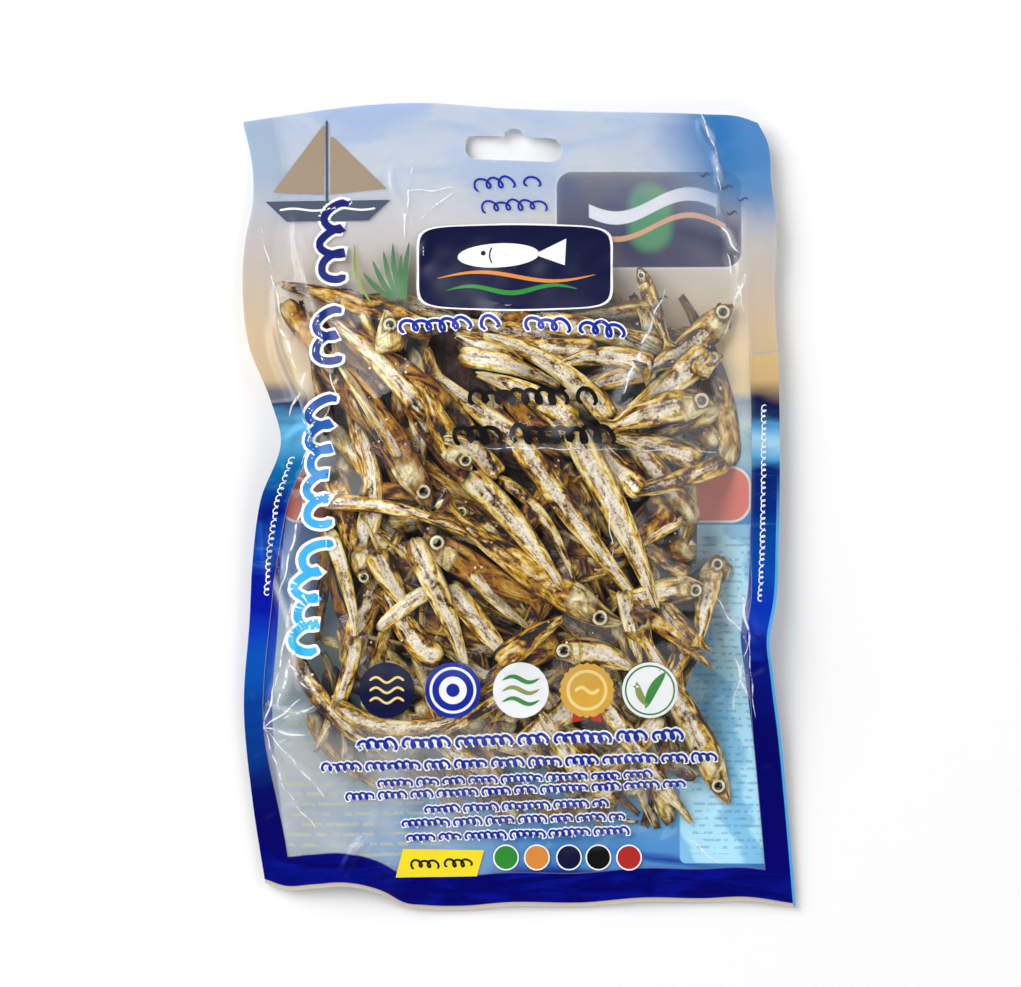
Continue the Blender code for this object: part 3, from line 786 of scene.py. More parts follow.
def within(outline, spot):
    """Whether a place is inside an outline of corners."""
    before = np.roll(outline, 1, axis=0)
    crosses = (outline[:, 1] > spot[1]) != (before[:, 1] > spot[1])
    rise = np.where(crosses, before[:, 1] - outline[:, 1], 1.0)
    at = outline[:, 0] + (spot[1] - outline[:, 1]) * (before[:, 0] - outline[:, 0]) / rise
    return np.count_nonzero(crosses & (spot[0] < at)) % 2 == 1


def under_fish(rng):
    """Places for the fish under those listed: most run from upper left to lower right."""
    outline = np.array(UNDER_OUTLINE, dtype=float)
    middle = outline.mean(0)
    up, limit = np.array(UNDER_RIGHT_LIMIT).T
    placed = []
    while len(placed) < UNDER_COUNT:
        corner = rng.integers(len(outline))
        share = np.sqrt(rng.random())
        a, b = outline[corner], outline[(corner + 1) % len(outline)]
        spot = middle + (a + (b - a) * rng.random() - middle) * share
        turn = math.radians(rng.normal(*UNDER_TURN))
        half = rng.uniform(*UNDER_HALF_LENGTH)
        bow = rng.normal(0, 4)
        ahead = np.array([math.cos(turn), math.sin(turn)])
        aside = np.array([-ahead[1], ahead[0]])
        ends = [spot + ahead * half, spot + aside * bow, spot - ahead * half]
        if all(within(outline, end) for end in ends):
            ends = [(min(x, np.interp(y, up, limit)), y) for x, y in ends]
            placed.append(ends if rng.random() < 0.5 else ends[::-1])
    return placed


def fill_pouch(film_low, front, back):
    """Lays every fish and gives the pieces: rule-laid fish first, then those given one by one."""
    rng = np.random.default_rng(7)
    rows, columns = front.shape
    y, x = np.mgrid[0:rows, 0:columns]
    core = core_height(film_low[0] + (x + 0.5) * CELL, film_low[1] + (y + 0.5) * CELL, front, back)
    heap_map = Heap(np.maximum(core, back + FLOOR_OFF_BACK), front, back, film_low)
    shoals = {kind: Shoal() for kind in KINDS}
    for places in under_fish(rng):
        kind = "split" if rng.random() < UNDER_SPLIT_SHARE else "under"
        depth = UNDER_DEPTH * rng.uniform(0.75, 1.15)
        roll, tone, flip = rng.uniform(-30, 50), rng.random() ** 1.2, rng.random() < 0.5
        lay_fish(heap_map, shoals, UNDER_ROOM, UNDER_REACH, kind, places, depth, roll, tone, rng, flip)
    for i, (kind, places, depth, roll, tone) in enumerate(LAID):
        reach = np.interp(i, [0, len(LAID)], LAID_REACH)
        seen = [seen_from_camera(place, LAID_HEIGHT) for place in places]
        flip = rng.random() < 0.5
        lay_fish(heap_map, shoals, LAID_ROOM, reach, kind, seen, depth * LAID_WIDER, roll, tone, rng, flip)
    skin, eye = fish_skin(), fish_eye()
    cover = heap_map.height
    for _ in range(COVER_STEPS):
        cover = neighbour_mean(cover)
    return [
        shoal.build(PIECE_NAMES[kind], [skin, eye], cover, heap_map.cell) for kind, shoal in shoals.items()
    ]


# Shader tools


def rgb(code):
    """A colour written as on a screen, as the light values that a shader takes."""
    parts = [int(code[i:i + 2], 16) / 255 for i in (0, 2, 4)]
    return (*[p / 12.92 if p <= 0.04045 else ((p + 0.055) / 1.055) ** 2.4 for p in parts], 1.0)


def set_stops(ramp, stops):
    """Gives a ramp its stops, each a place and a colour or a grey."""
    while len(ramp.elements) < len(stops):
        ramp.elements.new(1.0)
    for element, (at, colour) in zip(ramp.elements, stops):
        element.position = at
        element.color = rgb(colour) if isinstance(colour, str) else (colour, colour, colour, 1)


class Signal:
    """A shader socket that Python's arithmetic works on."""

    def __init__(self, finish, socket):
        self.finish, self.socket = finish, socket

    def math(self, operation, *others, clamp=False):
        values = {i: v for i, v in enumerate((self, *others))}
        return self.finish.add("Math", {"operation": operation, "use_clamp": clamp}, values)

    def __add__(self, other):
        return self.math("ADD", other)

    __radd__ = __add__

    def __mul__(self, other):
        return self.math("MULTIPLY", other)

    __rmul__ = __mul__

    def __sub__(self, other):
        return self.math("SUBTRACT", other)

    def __rsub__(self, other):
        return self.finish.add("Math", {"operation": "SUBTRACT"}, {0: other, 1: self})

    def __truediv__(self, other):
        return self.math("DIVIDE", other)

    def clamped(self):
        return self.math("ADD", 0.0, clamp=True)

    def rise(self, low, high):
        """0 below low and 1 above high, or falling where low is the higher."""
        values = {"Value": self, "From Min": low, "From Max": high}
        return self.finish.add("MapRange", {"interpolation_type": "SMOOTHSTEP"}, values)


class Finish:
    """A material, with one way to add any node to it."""

    def __init__(self, name):
        self.material = bpy.data.materials.new(name)
        self.material.use_nodes = True
        self.tree = self.material.node_tree
        self.tree.nodes.clear()

    def add(self, kind, settings=None, values=None, output=0):
        node = self.tree.nodes.new("ShaderNode" + kind)
        for name, value in (settings or {}).items():
            if name == "stops":
                set_stops(node.color_ramp, value)
            else:
                setattr(node, name, value)
        for name, value in (values or {}).items():
            if isinstance(value, Signal):
                self.tree.links.new(value.socket, node.inputs[name])
            else:
                node.inputs[name].default_value = value
        return Signal(self, node.outputs[output])

    def ramp(self, factor, stops):
        return self.add("ValToRGB", {"stops": stops}, {"Fac": factor})

    def mix(self, factor, a, b):
        a, b = (rgb(v) if isinstance(v, str) else v for v in (a, b))
        return self.add("Mix", {"data_type": "RGBA"}, {0: factor, 6: a, 7: b}, output=2)

    def kept(self, name, output="Fac"):
        return self.add("Attribute", {"attribute_name": name}, output=output)

    def place(self):
        return self.add("TexCoord", output="Object")

    def split(self, vector):
        node = self.add("SeparateXYZ", values={"Vector": vector}).socket.node
        return [Signal(self, socket) for socket in node.outputs]

    def stretched(self, vector, scale):
        return self.add("VectorMath", {"operation": "MULTIPLY"}, {0: vector, 1: scale})

    def noise(self, vector, scale, detail=3.0, rough=0.55, warp=0.0):
        values = {"Vector": vector, "Scale": scale, "Detail": detail, "Roughness": rough, "Distortion": warp}
        return self.add("TexNoise", values=values)

    def bump(self, height, strength, distance):
        return self.add("Bump", values={"Height": height, "Strength": strength, "Distance": distance})

    def shader(self, **values):
        names = {name.replace("_", " "): value for name, value in values.items()}
        return self.add("BsdfPrincipled", values=names)

    def finish(self, shader):
        out = self.tree.nodes.new("ShaderNodeOutputMaterial")
        self.tree.links.new(shader.socket, out.inputs["Surface"])
        return self.material


# The fish's finishes


def fish_skin():
    """Amber flesh and a speckled silver band over long fibres, with pale plates on the head, and painted
    shade along each fish's back and belly edges and on the fish that lie under others.
    """
    f = Finish("dried fish skin")
    marks = f.kept("marks", "Color")
    band, plate, dark = f.split(marks)
    height = f.kept("marks", "Alpha")
    tone, skin = f.kept("tone"), f.kept("skin", "Vector")
    fibres = f.noise(f.stretched(skin, (80, 1000, 1)), 1.0, 3.0, 0.6)
    blotch = f.noise(f.stretched(skin, (110, 260, 1)), 1.0, 3.0, 0.6, 0.9)
    mottle = f.noise(f.stretched(skin, (420, 640, 1)), 1.0, 3.0, 0.6, 0.5)
    grain = f.noise(f.stretched(skin, (1300, 1900, 1)), 1.0, 2.0, 0.6)
    flesh = f.ramp(
        (blotch - 0.5) * 2.2 + (mottle - 0.5) * 1.0 + (fibres - 0.5) * 0.5 + tone * 0.44 + 0.34,
        [(0.05, "150B03"), (0.24, "42290A"), (0.40, "845E18"), (0.55, "B88E32"), (0.70, "E0BC62"),
         (0.93, "F0E2B4")],
    )
    silver = f.ramp(
        (grain - 0.5) * 0.5 + (mottle - 0.5) * 0.6 + (fibres - 0.5) * 0.7 + (blotch - 0.5) * 0.9 + 0.56,
        [(0.28, "382C22"), (0.39, "7E6A54"), (0.48, "B6A288"), (0.59, "DED0B6"), (0.78, "F0EADC")],
    )
    shown = (band * 1.7 + (blotch - 0.5) * 2.0 + (mottle - 0.5) * 0.9) * tone.rise(0.05, 0.70)
    shown = shown.rise(0.48, 0.70)
    colour = f.mix(shown, flesh, silver)
    specks = grain.rise(0.40, 0.34) * blotch.rise(0.50, 0.60) * shown
    colour = f.mix(specks * 0.5, colour, "4A3A2C")
    # Painted shade along each fish's back and belly edges, where it curves away into the gaps
    rim = ((height - 0.5).math("ABSOLUTE") + (mottle - 0.5) * 0.24).rise(0.38, 0.50) * (1 - plate)
    colour = f.mix(rim * 0.8, colour, "34200A")
    pale = f.ramp(
        blotch + (grain - 0.5) * 0.5,
        [(0.30, "A0783C"), (0.45, "D8C48C"), (0.60, "EFE8C8"), (0.75, "DDE2C6")],
    )
    colour = f.mix((plate * (0.55 + blotch * 0.7)).clamped() * 0.9, colour, pale)
    colour = f.mix((dark * (0.55 + fibres * 0.6)).clamped(), colour, "3A1A0A")
    deep = (mottle * 0.5 + blotch * 0.6).rise(0.47, 0.33)
    colour = f.mix(deep * 0.65, colour, "2E1405")
    amber = tone.rise(0.40, 0.08) * blotch.rise(0.36, 0.58) * (1 - plate)
    colour = f.mix(amber * 0.6, colour, "A0691E")
    # Painted shade: points that lie under the smoothed top of the heap are darkened towards near black, the
    # deeper the darker
    colour = f.mix(f.kept("deep").rise(-1.0, 3.5) * 0.96, colour, "0E0502")
    colour = f.add("BrightContrast", values={"Color": colour, "Bright": 0.055, "Contrast": 0.2})
    surface = f.shader(
        Base_Color=colour,
        Roughness=0.62 - shown * 0.24,
        Metallic=shown * 0.22,
        Normal=f.bump(fibres * 0.6 + mottle * 0.6 + grain * 0.3 + blotch * 1.2, 0.9, 1.2 * MM),
    )
    return f.finish(surface)


def fish_eye():
    """A dark pupil in a pale ring, with a dark rim."""
    f = Finish("dried fish eye")
    ring = f.split(f.kept("marks", "Color"))[0]
    speck = f.noise(f.place(), 1500.0, 2.0)
    colour = f.ramp(
        ring + (speck - 0.5) * 0.06,
        [(0.0, "0A0807"), (0.46, "14100C"), (0.53, "6B5A3C"), (0.60, "CFC69C"), (0.82, "E2D9B6"),
         (0.90, "9A7A44"), (0.95, "4A2C12"), (1.0, "2B1608")],
    )
    return f.finish(f.shader(Base_Color=colour, Roughness=0.16, Coat_Weight=0.6))


def packed_core():
    """What shows in the deepest gaps: fish in shadow, with their shade painted in as dark amber."""
    f = Finish("packed fish below")
    place = f.place()
    streak = f.noise(f.stretched(place, (1.0, 0.45, 1.0)), 260.0, 5.0, 0.6, 1.2)
    colour = f.ramp(streak, [(0.30, "0E0402"), (0.48, "2E1206"), (0.62, "5A3212"), (0.78, "8A622E")])
    return f.finish(f.shader(Base_Color=colour, Roughness=0.6, Normal=f.bump(streak, 0.8, 1.5 * MM)))


# The film's finishes

# Where the print lies, in millimetres: how far the pouch's foot is below the middle, its length, the side
# borders, the border on the bottom seal and the pale strip at its very end, each with its soft edge, and the
# middle and half size of the plaque that shows through mirrored
FOOT, LENGTH = 133.5, 267.0
SIDE_PRINT = (9.6, 9.2)
SEAL_PRINT = (11.4, 10.8)
END_STRIP = (1.5, 1.2)
STRIP_COLOUR = "D6CBBC"
MIRRORED_PLAQUE = ((42.6, 94.8), (30.4, 15.7))

# Colours up the two printed borders, as shares of the pouch's length, alike from the sand upwards
UPPER_STOPS = [(0.72, "D6B888"), (0.80, "C8BAAE"), (0.87, "BFC2C8"), (0.93, "9CB6D2"), (1.0, "9AB2D4")]
LEFT_STOPS = [
    (0.0, "010170"), (0.11, "01015C"), (0.16, "020A60"), (0.20, "023482"), (0.24, "023C94"),
    (0.28, "044CAC"), (0.315, "0450B4"), (0.34, "0A3CBA"), (0.37, "0212A0"), (0.41, "021498"),
    (0.455, "0247AE"), (0.485, "03107C"), (0.515, "022B8C"), (0.565, "0C70A6"), (0.60, "5FB0DC"),
    (0.625, "1B2F5E"), (0.64, "0B1240"), (0.655, "CDAE78"), *UPPER_STOPS,
]
RIGHT_STOPS = [
    (0.0, "010170"), (0.22, "010160"), (0.29, "02127E"), (0.325, "01087A"), (0.345, "0A3CBE"),
    (0.38, "0430B4"), (0.42, "0448B0"), (0.47, "034096"), (0.50, "022A80"), (0.535, "04206C"),
    (0.55, "4CA0D4"), (0.575, "A4D2EA"), (0.60, "5FA8DC"), (0.62, "1B2F5E"), (0.635, "0B1240"),
    (0.655, "CDAE78"), *UPPER_STOPS,
]
# The same up the back film, whose print shows round the fish
BACK_STOPS = [
    (0.0, "0A1C8C"), (0.045, "0A2C9A"), (0.06, "4F8FD0"), (0.16, "6FB4E4"), (0.26, "9AD8F0"),
    (0.40, "8CCBE8"), (0.46, "3A8CC8"), (0.50, "2A84C4"), (0.53, "4FA0CC"), (0.59, "C8DEDC"),
    (0.62, "8A9CBC"), (0.64, "F4DCA6"), (0.70, "EFD2A4"), (0.77, "CDC2B2"), (0.84, "D2CCCC"),
    (0.90, "C4CFDE"), (1.0, "AFC6E6"),
]


def rounded(f, x, y, middle, half, corner, soft=0.25):
    """1 inside a rounded box and 0 outside, all in millimetres."""
    dx = ((x - middle[0]).math("ABSOLUTE") - (half[0] - corner)).math("MAXIMUM", 0.0)
    dy = ((y - middle[1]).math("ABSOLUTE") - (half[1] - corner)).math("MAXIMUM", 0.0)
    return (dx * dx + dy * dy).math("SQRT").rise(corner + soft, corner - soft)


def clear_film(f):
    """Film with no ink: what is behind shows through, under a soft gloss."""
    facing = f.add("LayerWeight", values={"Blend": 0.5}, output=1)
    sheen = facing.math("POWER", 5.0) * 0.8 + 0.032
    glossy = f.add("BsdfGlossy", values={"Color": (1, 1, 1, 1), "Roughness": 0.14})
    clear = f.add("BsdfTransparent", values={"Color": (0.99, 0.995, 0.995, 1)})
    return f.add("MixShader", values={0: sheen, 1: clear, 2: glossy})


def window_film():
    """The unprinted middle of the front film, with a painted white sheen where it stands off the fish and
    painted highlights along folds and creases.
    """
    f = Finish("clear window film")
    white = f.shader(Base_Color=(0.80, 0.81, 0.82, 1), Roughness=0.5)
    return f.finish(f.add("MixShader", values={0: f.kept("cloud"), 1: clear_film(f), 2: white}))


def printed_front():
    """The front film: printed borders, a hazy header and a clear window."""
    f = Finish("printed front film")
    place = f.place()
    x, y, _ = f.split(f.stretched(place, (1000, 1000, 1000)))
    side, bottom, top, cloud = (f.kept(name) for name in ("side", "bottom", "top", "cloud"))
    swell = f.noise(f.stretched(place, (24, 52, 0)), 1.0, 3.0, 0.5, 0.6)
    length = (y + FOOT) / LENGTH
    wave = (swell - 0.5) * length.rise(0.66, 0.60) * 0.12
    on_left = (0 - x).rise(-1.0, 1.0)
    border = f.mix(on_left, f.ramp(length + wave, RIGHT_STOPS), f.ramp(length + wave, LEFT_STOPS))
    foam = f.noise(f.stretched(place, (40, 170, 0)), 1.0, 4.0, 0.6, 1.5)
    foamy = foam.rise(0.56, 0.72) * length.rise(0.64, 0.60) * length.rise(0.36, 0.5)
    border = f.mix(foamy * 0.36, border, "4CA0DC")
    pinch = on_left * y.rise(-112.0, -70.0) * y.rise(8.0, -50.0) * 3.0
    pinch = pinch + (1 - on_left) * y.rise(-80.0, -45.0) * y.rise(-10.0, -38.0) * 1.6
    below_sand = x * 0.1 + 42.5 - y
    low_border = (side + pinch).rise(*SIDE_PRINT) * below_sand.rise(-1.0, 1.0)
    high_border = side.rise(17.0, 5.0) * below_sand.rise(1.0, -1.0) * 0.8
    on_border = low_border.math("MAXIMUM", high_border)
    on_seal = bottom.rise(*SEAL_PRINT)
    header = top.rise(52.0, 22.0)
    sky = f.mix(swell.rise(0.38, 0.62), "BACAE8", "E2E4E6")
    corner = (x + y * 0.3).rise(74.0, 105.0) * y.rise(83.0, 107.0)
    sky = f.mix(corner, sky, f.mix(swell.rise(0.35, 0.65), "2874B8", "5596CC"))
    strip = bottom.rise(*END_STRIP)
    light_edge = side.rise(1.1, 0.8) * (1 - on_left) * y.rise(14.0, -10.0)
    haze = f.noise(place, 38.0, 3.0, 0.55, 0.4)
    printed = on_border.math("MAXIMUM", on_seal)
    border = f.mix(corner * 0.8, border, "2E7CC0")
    colour = f.mix(printed, f.mix(header, (0.80, 0.80, 0.80, 1), sky), border)
    colour = f.mix(on_seal * (1 - strip), colour, f.mix(foam.rise(0.4, 0.7), "010164", "02108C"))
    colour = f.mix(strip, colour, STRIP_COLOUR)
    colour = f.mix(light_edge, colour, "4CA8E0")
    # Painted sheen and crease highlights: the unprinted film is whitened and made less clear where the film
    # carries them
    colour = f.mix(cloud.rise(0.14, 0.45) * (1 - printed) * 0.8, colour, "E6EAF0")
    ink = printed * 0.97
    veil = header * (0.26 + haze * 0.26) * (1 - rounded(f, x, y, *MIRRORED_PLAQUE, 5.0, 3.0) * 0.45)
    alpha = ink.math("MAXIMUM", (veil + corner * 0.5).clamped().math("MAXIMUM", cloud))
    alpha = f.add("Mix", {}, {0: strip, 2: alpha, 3: 0.55})
    print_layer = f.shader(Base_Color=colour, Roughness=0.30, Specular_IOR_Level=0.15)
    return f.finish(f.add("MixShader", values={0: alpha, 1: clear_film(f), 2: print_layer}))


def printed_back():
    """The back film: a picture of sky over sea with plain panels, which shows round the fish."""
    f = Finish("printed back film")
    place = f.place()
    x, y, _ = f.split(f.stretched(place, (1000, 1000, 1000)))
    side, bottom = f.kept("side"), f.kept("bottom")
    swell = f.noise(f.stretched(place, (14, 48, 0)), 1.0, 4.0, 0.5, 0.8)
    length = (y + FOOT) / LENGTH
    wave = (swell - 0.5) * (length.rise(0.66, 0.60) * 0.10 + 0.03)
    colour = f.ramp(length + wave, BACK_STOPS)
    left_low = f.mix(length.rise(0.32, 0.42), "A0A4A6", "7C92CC")
    colour = f.mix((0 - x).rise(30.0, 70.0) * length.rise(0.54, 0.46) * 0.75, colour, left_low)
    panel = rounded(f, x, y, (68.0, -62.0), (15.0, 56.0), 2.0)
    colour = f.mix(panel, colour, "B4E8FF")
    # Painted light and shade: diagonal bands across the panel
    panel_sheen = (x * 0.24 + y * 0.07 + swell * 7.0).math("SINE").rise(0.25, 0.75)
    colour = f.mix(panel * panel_sheen * 0.6, colour, "58ACE0")
    row = (y * 0.42).math("FRACT")
    rows = row.rise(0.42, 0.50) * row.rise(0.86, 0.78)
    words = f.noise(f.stretched(place, (480, 300, 0)), 1.0, 1.0)
    text = rounded(f, x, y, (69.0, -62.0), (12.0, 53.0), 1.0) * rows * words.rise(0.47, 0.51)
    colour = f.mix(text * 0.4, colour, "5F7C94")
    label = rounded(f, x, y, (-1.6, 4.0), (77.0, 8.6), 6.0)
    ring = rounded(f, x, y, (-1.6, 4.0), (77.8, 9.4), 6.8)
    row = (y * 0.30).math("FRACT")
    rows = row.rise(0.30, 0.40) * row.rise(0.72, 0.62)
    notes = rounded(f, x, y, (-52.0, -92.0), (26.0, 26.0), 2.0) * rows * words.rise(0.44, 0.48)
    colour = f.mix(notes * 0.6, colour, "C6CA80")
    colour = f.mix(ring, colour, "F2E6E0")
    colour = f.mix(label, colour, "E87868")
    plaque = rounded(f, x, y, *MIRRORED_PLAQUE, 5.0)
    rim = rounded(f, x, y, MIRRORED_PLAQUE[0], (31.1, 16.4), 5.8)
    colour = f.mix(rim * 0.6, colour, "DDE3EC")
    colour = f.mix(plaque, colour, "161C50")
    colour = f.mix(rounded(f, x, y, (43.0, 95.5), (7.0, 11.0), 6.5, 2.0) * 0.8, colour, "3E9A5A")
    bow = ((x - 43.8) * 0.13).math("SINE") * 4.0
    for up, thick, middle, half, code in (
        (-1.0, 1.1, (43.8, 93.2), (24.0, 12.0), "D9A27A"), (6.0, 2.4, (43.8, 95.2), (21.0, 12.0), "E8EAF0"),
    ):
        crest = (y - 93.2 - up - bow).math("ABSOLUTE").rise(thick, thick - 0.4)
        colour = f.mix(crest * rounded(f, x, y, middle, half, 3.0), colour, code)
    printed = side.rise(*SIDE_PRINT).math("MAXIMUM", bottom.rise(*SEAL_PRINT))
    colour = f.mix(printed, colour, f.ramp(length + wave, LEFT_STOPS))
    colour = f.mix(bottom.rise(*END_STRIP), colour, STRIP_COLOUR)
    return f.finish(f.shader(Base_Color=colour, Roughness=0.38, Specular_IOR_Level=0.25))


# The films and what they close


def film_object(name, surface, heights, values, slots=None):
    """One film, with its slot cut and its distances kept for the print."""
    reach = 0.6 * (surface[1, 0, 1] - surface[0, 0, 1])
    x, y = snapped_to_slot(surface[:, :, 0], surface[:, :, 1], reach)
    points = np.stack([x, y, heights], axis=-1)
    middle = (points[:-1, :-1] + points[1:, 1:] + points[:-1, 1:] + points[1:, :-1]) / 4
    keep = slot_distance(middle[:, :, 0], middle[:, :, 1]) > 0
    kept_slots = slots[keep] if slots is not None else None
    thing = mesh_object(name, points.reshape(-1, 3), grid_faces(*heights.shape)[keep], kept_slots)
    left, right, bottom, top = edge_distances(surface)
    set_values(thing, "side", np.minimum(left, right) / MM)
    set_values(thing, "bottom", bottom / MM)
    set_values(thing, "top", top / MM)
    for key, value in values.items():
        set_values(thing, key, value)
    drop_loose_points(thing)
    thing.data.shade_smooth()
    return thing


def height_under(tree, x, y, default):
    """The height of a mesh under each place, or the default where there is none."""
    found = default.copy().ravel()
    down = Vector((0, 0, -1))
    for i, (px, py) in enumerate(zip(x.ravel(), y.ravel())):
        hit = tree.ray_cast(Vector((px, py, ABOVE_ALL)), down)[0]
        if hit is not None:
            found[i] = hit.z
    return found.reshape(x.shape)


def tree_of(things):
    """One search tree of several meshes."""
    points, faces, count = [], [], 0
    for thing in things:
        points += points_of(thing).tolist()
        faces += [[v + count for v in p.vertices] for p in thing.data.polygons]
        count = len(points)
    return BVHTree.FromPolygons(points, faces)


def front_film(fish):
    """The front film, drawn down over the fish, with its folds."""
    surface = seal_surface(FRONT_CELLS)
    x, y, seal = surface[:, :, 0], surface[:, :, 1], surface[:, :, 2]
    pillow, back = pillow_heights(surface)
    inside = inside_seals(surface)
    left, right, bottom, top = edges = edge_distances(surface)
    off_edge = np.minimum.reduce(edges)
    folds, white = fold_relief(x, y), crease_glint(x, y)
    floor = height_under(tree_of(fish), x, y, np.full_like(x, -1.0))
    padded = np.pad(floor, 1, mode="edge")
    rows, columns = floor.shape
    floor = np.maximum.reduce([padded[i:i + rows, j:j + columns] for i in (0, 1, 2) for j in (0, 1, 2)])
    floor = np.maximum(floor + FILM_OFF_FISH, back + FILM_OFF_BACK)
    free = inside > 0
    drawn = drawn_down(pillow, floor, free)
    opened = smooth_step(inside / (8 * MM))
    relief = folds * smooth_step(off_edge / (4 * MM))
    relief += CREASE_RIDGE * white
    relief += opened * FINE_RIPPLE * ripples(x, y, 3, 6, 18)
    relief += BROAD_RIPPLE * ripples(x, y, 5, 14, 40) * smooth_step(off_edge / (3 * MM))
    tight = drawn + relief
    tight = np.where(free, np.maximum(tight, floor), tight)
    for _ in range(2):
        tight = np.where(free, neighbour_mean(tight) * 0.6 + tight * 0.4, tight)
    height = np.where(free, np.maximum(tight, floor), seal + FILM_PAIR / 2 + relief)
    # Painted sheen on the film: white haze where it stands off the fish, towards the upper right and in the
    # lower left, with painted highlights along the sharp folds and the fine creases
    gap = np.clip(height - floor, 0, 12 * MM) / MM
    crease = np.clip(folds / MM - 0.9, 0, 1) * 0.6 + white * 0.30
    painted_haze = smooth_step(gap / 3.0) * 0.003 + smooth_step(((x * 0.8 + y) / MM - 50) / 80) * 0.10
    painted_haze += smooth_step((-y / MM - 66) / 14) * smooth_step((-x / MM + 10) / 50) * 0.26
    cloud = painted_haze * (1 + 0.35 * ripples(x, y, 21, 9, 40)) + crease * 0.62
    from_side, from_bottom, from_top = WINDOW_INSET
    window = (np.minimum(left, right) > from_side) & (bottom > from_bottom) & (top > from_top)
    slots = np.where(window[:-1, :-1], 0, 1)
    return film_object("front_film", surface, height, {"cloud": np.clip(cloud, 0, MOST_SHEEN)}, slots)


def back_film():
    """The back film, as the solid has it, just above the solid's own surface."""
    surface = seal_surface(BACK_CELLS)
    _, back = pillow_heights(surface)
    return film_object("back_film", surface, back + 0.05 * MM, {})


def core_height(x, y, front, back):
    """The top of the fish that nothing shows of, which slopes down to the back film inside the others."""
    across, along = (x - CORE_MIDDLE[0]) / CORE_HALF[0], (y - CORE_MIDDLE[1]) / CORE_HALF[1]
    spread = np.clip(np.abs(across) ** 2.4 + np.abs(along) ** 2.4, 0, 1.6)
    rise = np.clip(1 - spread, 0, 1) ** 0.6
    foot = back - CORE_UNDER_BACK
    return foot + np.maximum(front - CORE_UNDER_FRONT - foot, 0) * rise


def core_heap(low, front, back):
    """The fish that nothing shows of, as one lump well under those that show."""
    rows, columns = front.shape
    y, x = np.mgrid[0:rows:CORE_STEP, 0:columns:CORE_STEP]
    x, y = low[0] + (x + 0.5) * CELL, low[1] + (y + 0.5) * CELL
    front, back = front[::CORE_STEP, ::CORE_STEP], back[::CORE_STEP, ::CORE_STEP]
    top = core_height(x, y, front, back)
    top += 0.8 * MM * ripples(x, y, 9, 6, 18) * smooth_step((top - back) / (3 * MM))
    over = top - back
    keep = np.maximum(over[:-1, :-1], over[1:, 1:]) > 0
    lump = np.stack([x, y, np.maximum(top, back)], axis=-1)
    thing = mesh_object("packed_fish", lump.reshape(-1, 3), grid_faces(*x.shape)[keep])
    drop_loose_points(thing)
    thing.data.materials.append(packed_core())
    return thing


# Loose scales inside the film: how many to a square metre, their radius and the smallest share of it, how
# far they lie off the fish, and how level a face they lie on is, from 0 to 1

SCALES_PER_AREA = 16000.0
SCALE_RADIUS = 0.55 * MM
SMALLEST_SCALE = 0.35
SCALE_LIFT = 0.12 * MM
FACES_UP = 0.75


def scale_tree(finish):
    """Nodes that scatter thin flakes over the mesh they are given, of one size with a little change."""
    tree = bpy.data.node_groups.new("scatter scales", "GeometryNodeTree")
    ports = tree.interface
    ports.new_socket("Geometry", in_out="INPUT", socket_type="NodeSocketGeometry")
    for name, kind, value in (
        ("Scales per square metre", "NodeSocketFloat", SCALES_PER_AREA),
        ("Scale radius", "NodeSocketFloat", SCALE_RADIUS),
        ("Smallest share", "NodeSocketFloat", SMALLEST_SCALE),
        ("Seed", "NodeSocketInt", 4),
    ):
        ports.new_socket(name, in_out="INPUT", socket_type=kind).default_value = value
    ports.new_socket("Geometry", in_out="OUTPUT", socket_type="NodeSocketGeometry")

    def node(kind, settings=(), **links):
        made = tree.nodes.new(kind)
        for name, value in dict(settings).items():
            setattr(made, name, value)
        for name, value in links.items():
            socket = made.inputs[name.replace("_", " ")]
            if isinstance(value, bpy.types.NodeSocket):
                tree.links.new(value, socket)
            else:
                socket.default_value = value
        return made

    given = node("NodeGroupInput").outputs
    spread = node(
        "GeometryNodeDistributePointsOnFaces", Mesh=given["Geometry"],
        Density=given["Scales per square metre"], Seed=given["Seed"],
    )
    flake = node("GeometryNodeMeshCircle", {"fill_type": "NGON"}, Vertices=7, Radius=given["Scale radius"])
    size = node("FunctionNodeRandomValue", {"data_type": "FLOAT"}, Seed=given["Seed"])
    tree.links.new(given["Smallest share"], size.inputs[2])
    size.inputs[3].default_value = 1.0
    laid = node(
        "GeometryNodeInstanceOnPoints", Points=spread.outputs["Points"], Instance=flake.outputs["Mesh"],
        Rotation=spread.outputs["Rotation"], Scale=size.outputs[1],
    )
    whole = node("GeometryNodeRealizeInstances", Geometry=laid.outputs["Instances"])
    coated = node("GeometryNodeSetMaterial", Geometry=whole.outputs["Geometry"], Material=finish)
    tree.links.new(coated.outputs["Geometry"], node("NodeGroupOutput").inputs["Geometry"])
    return tree


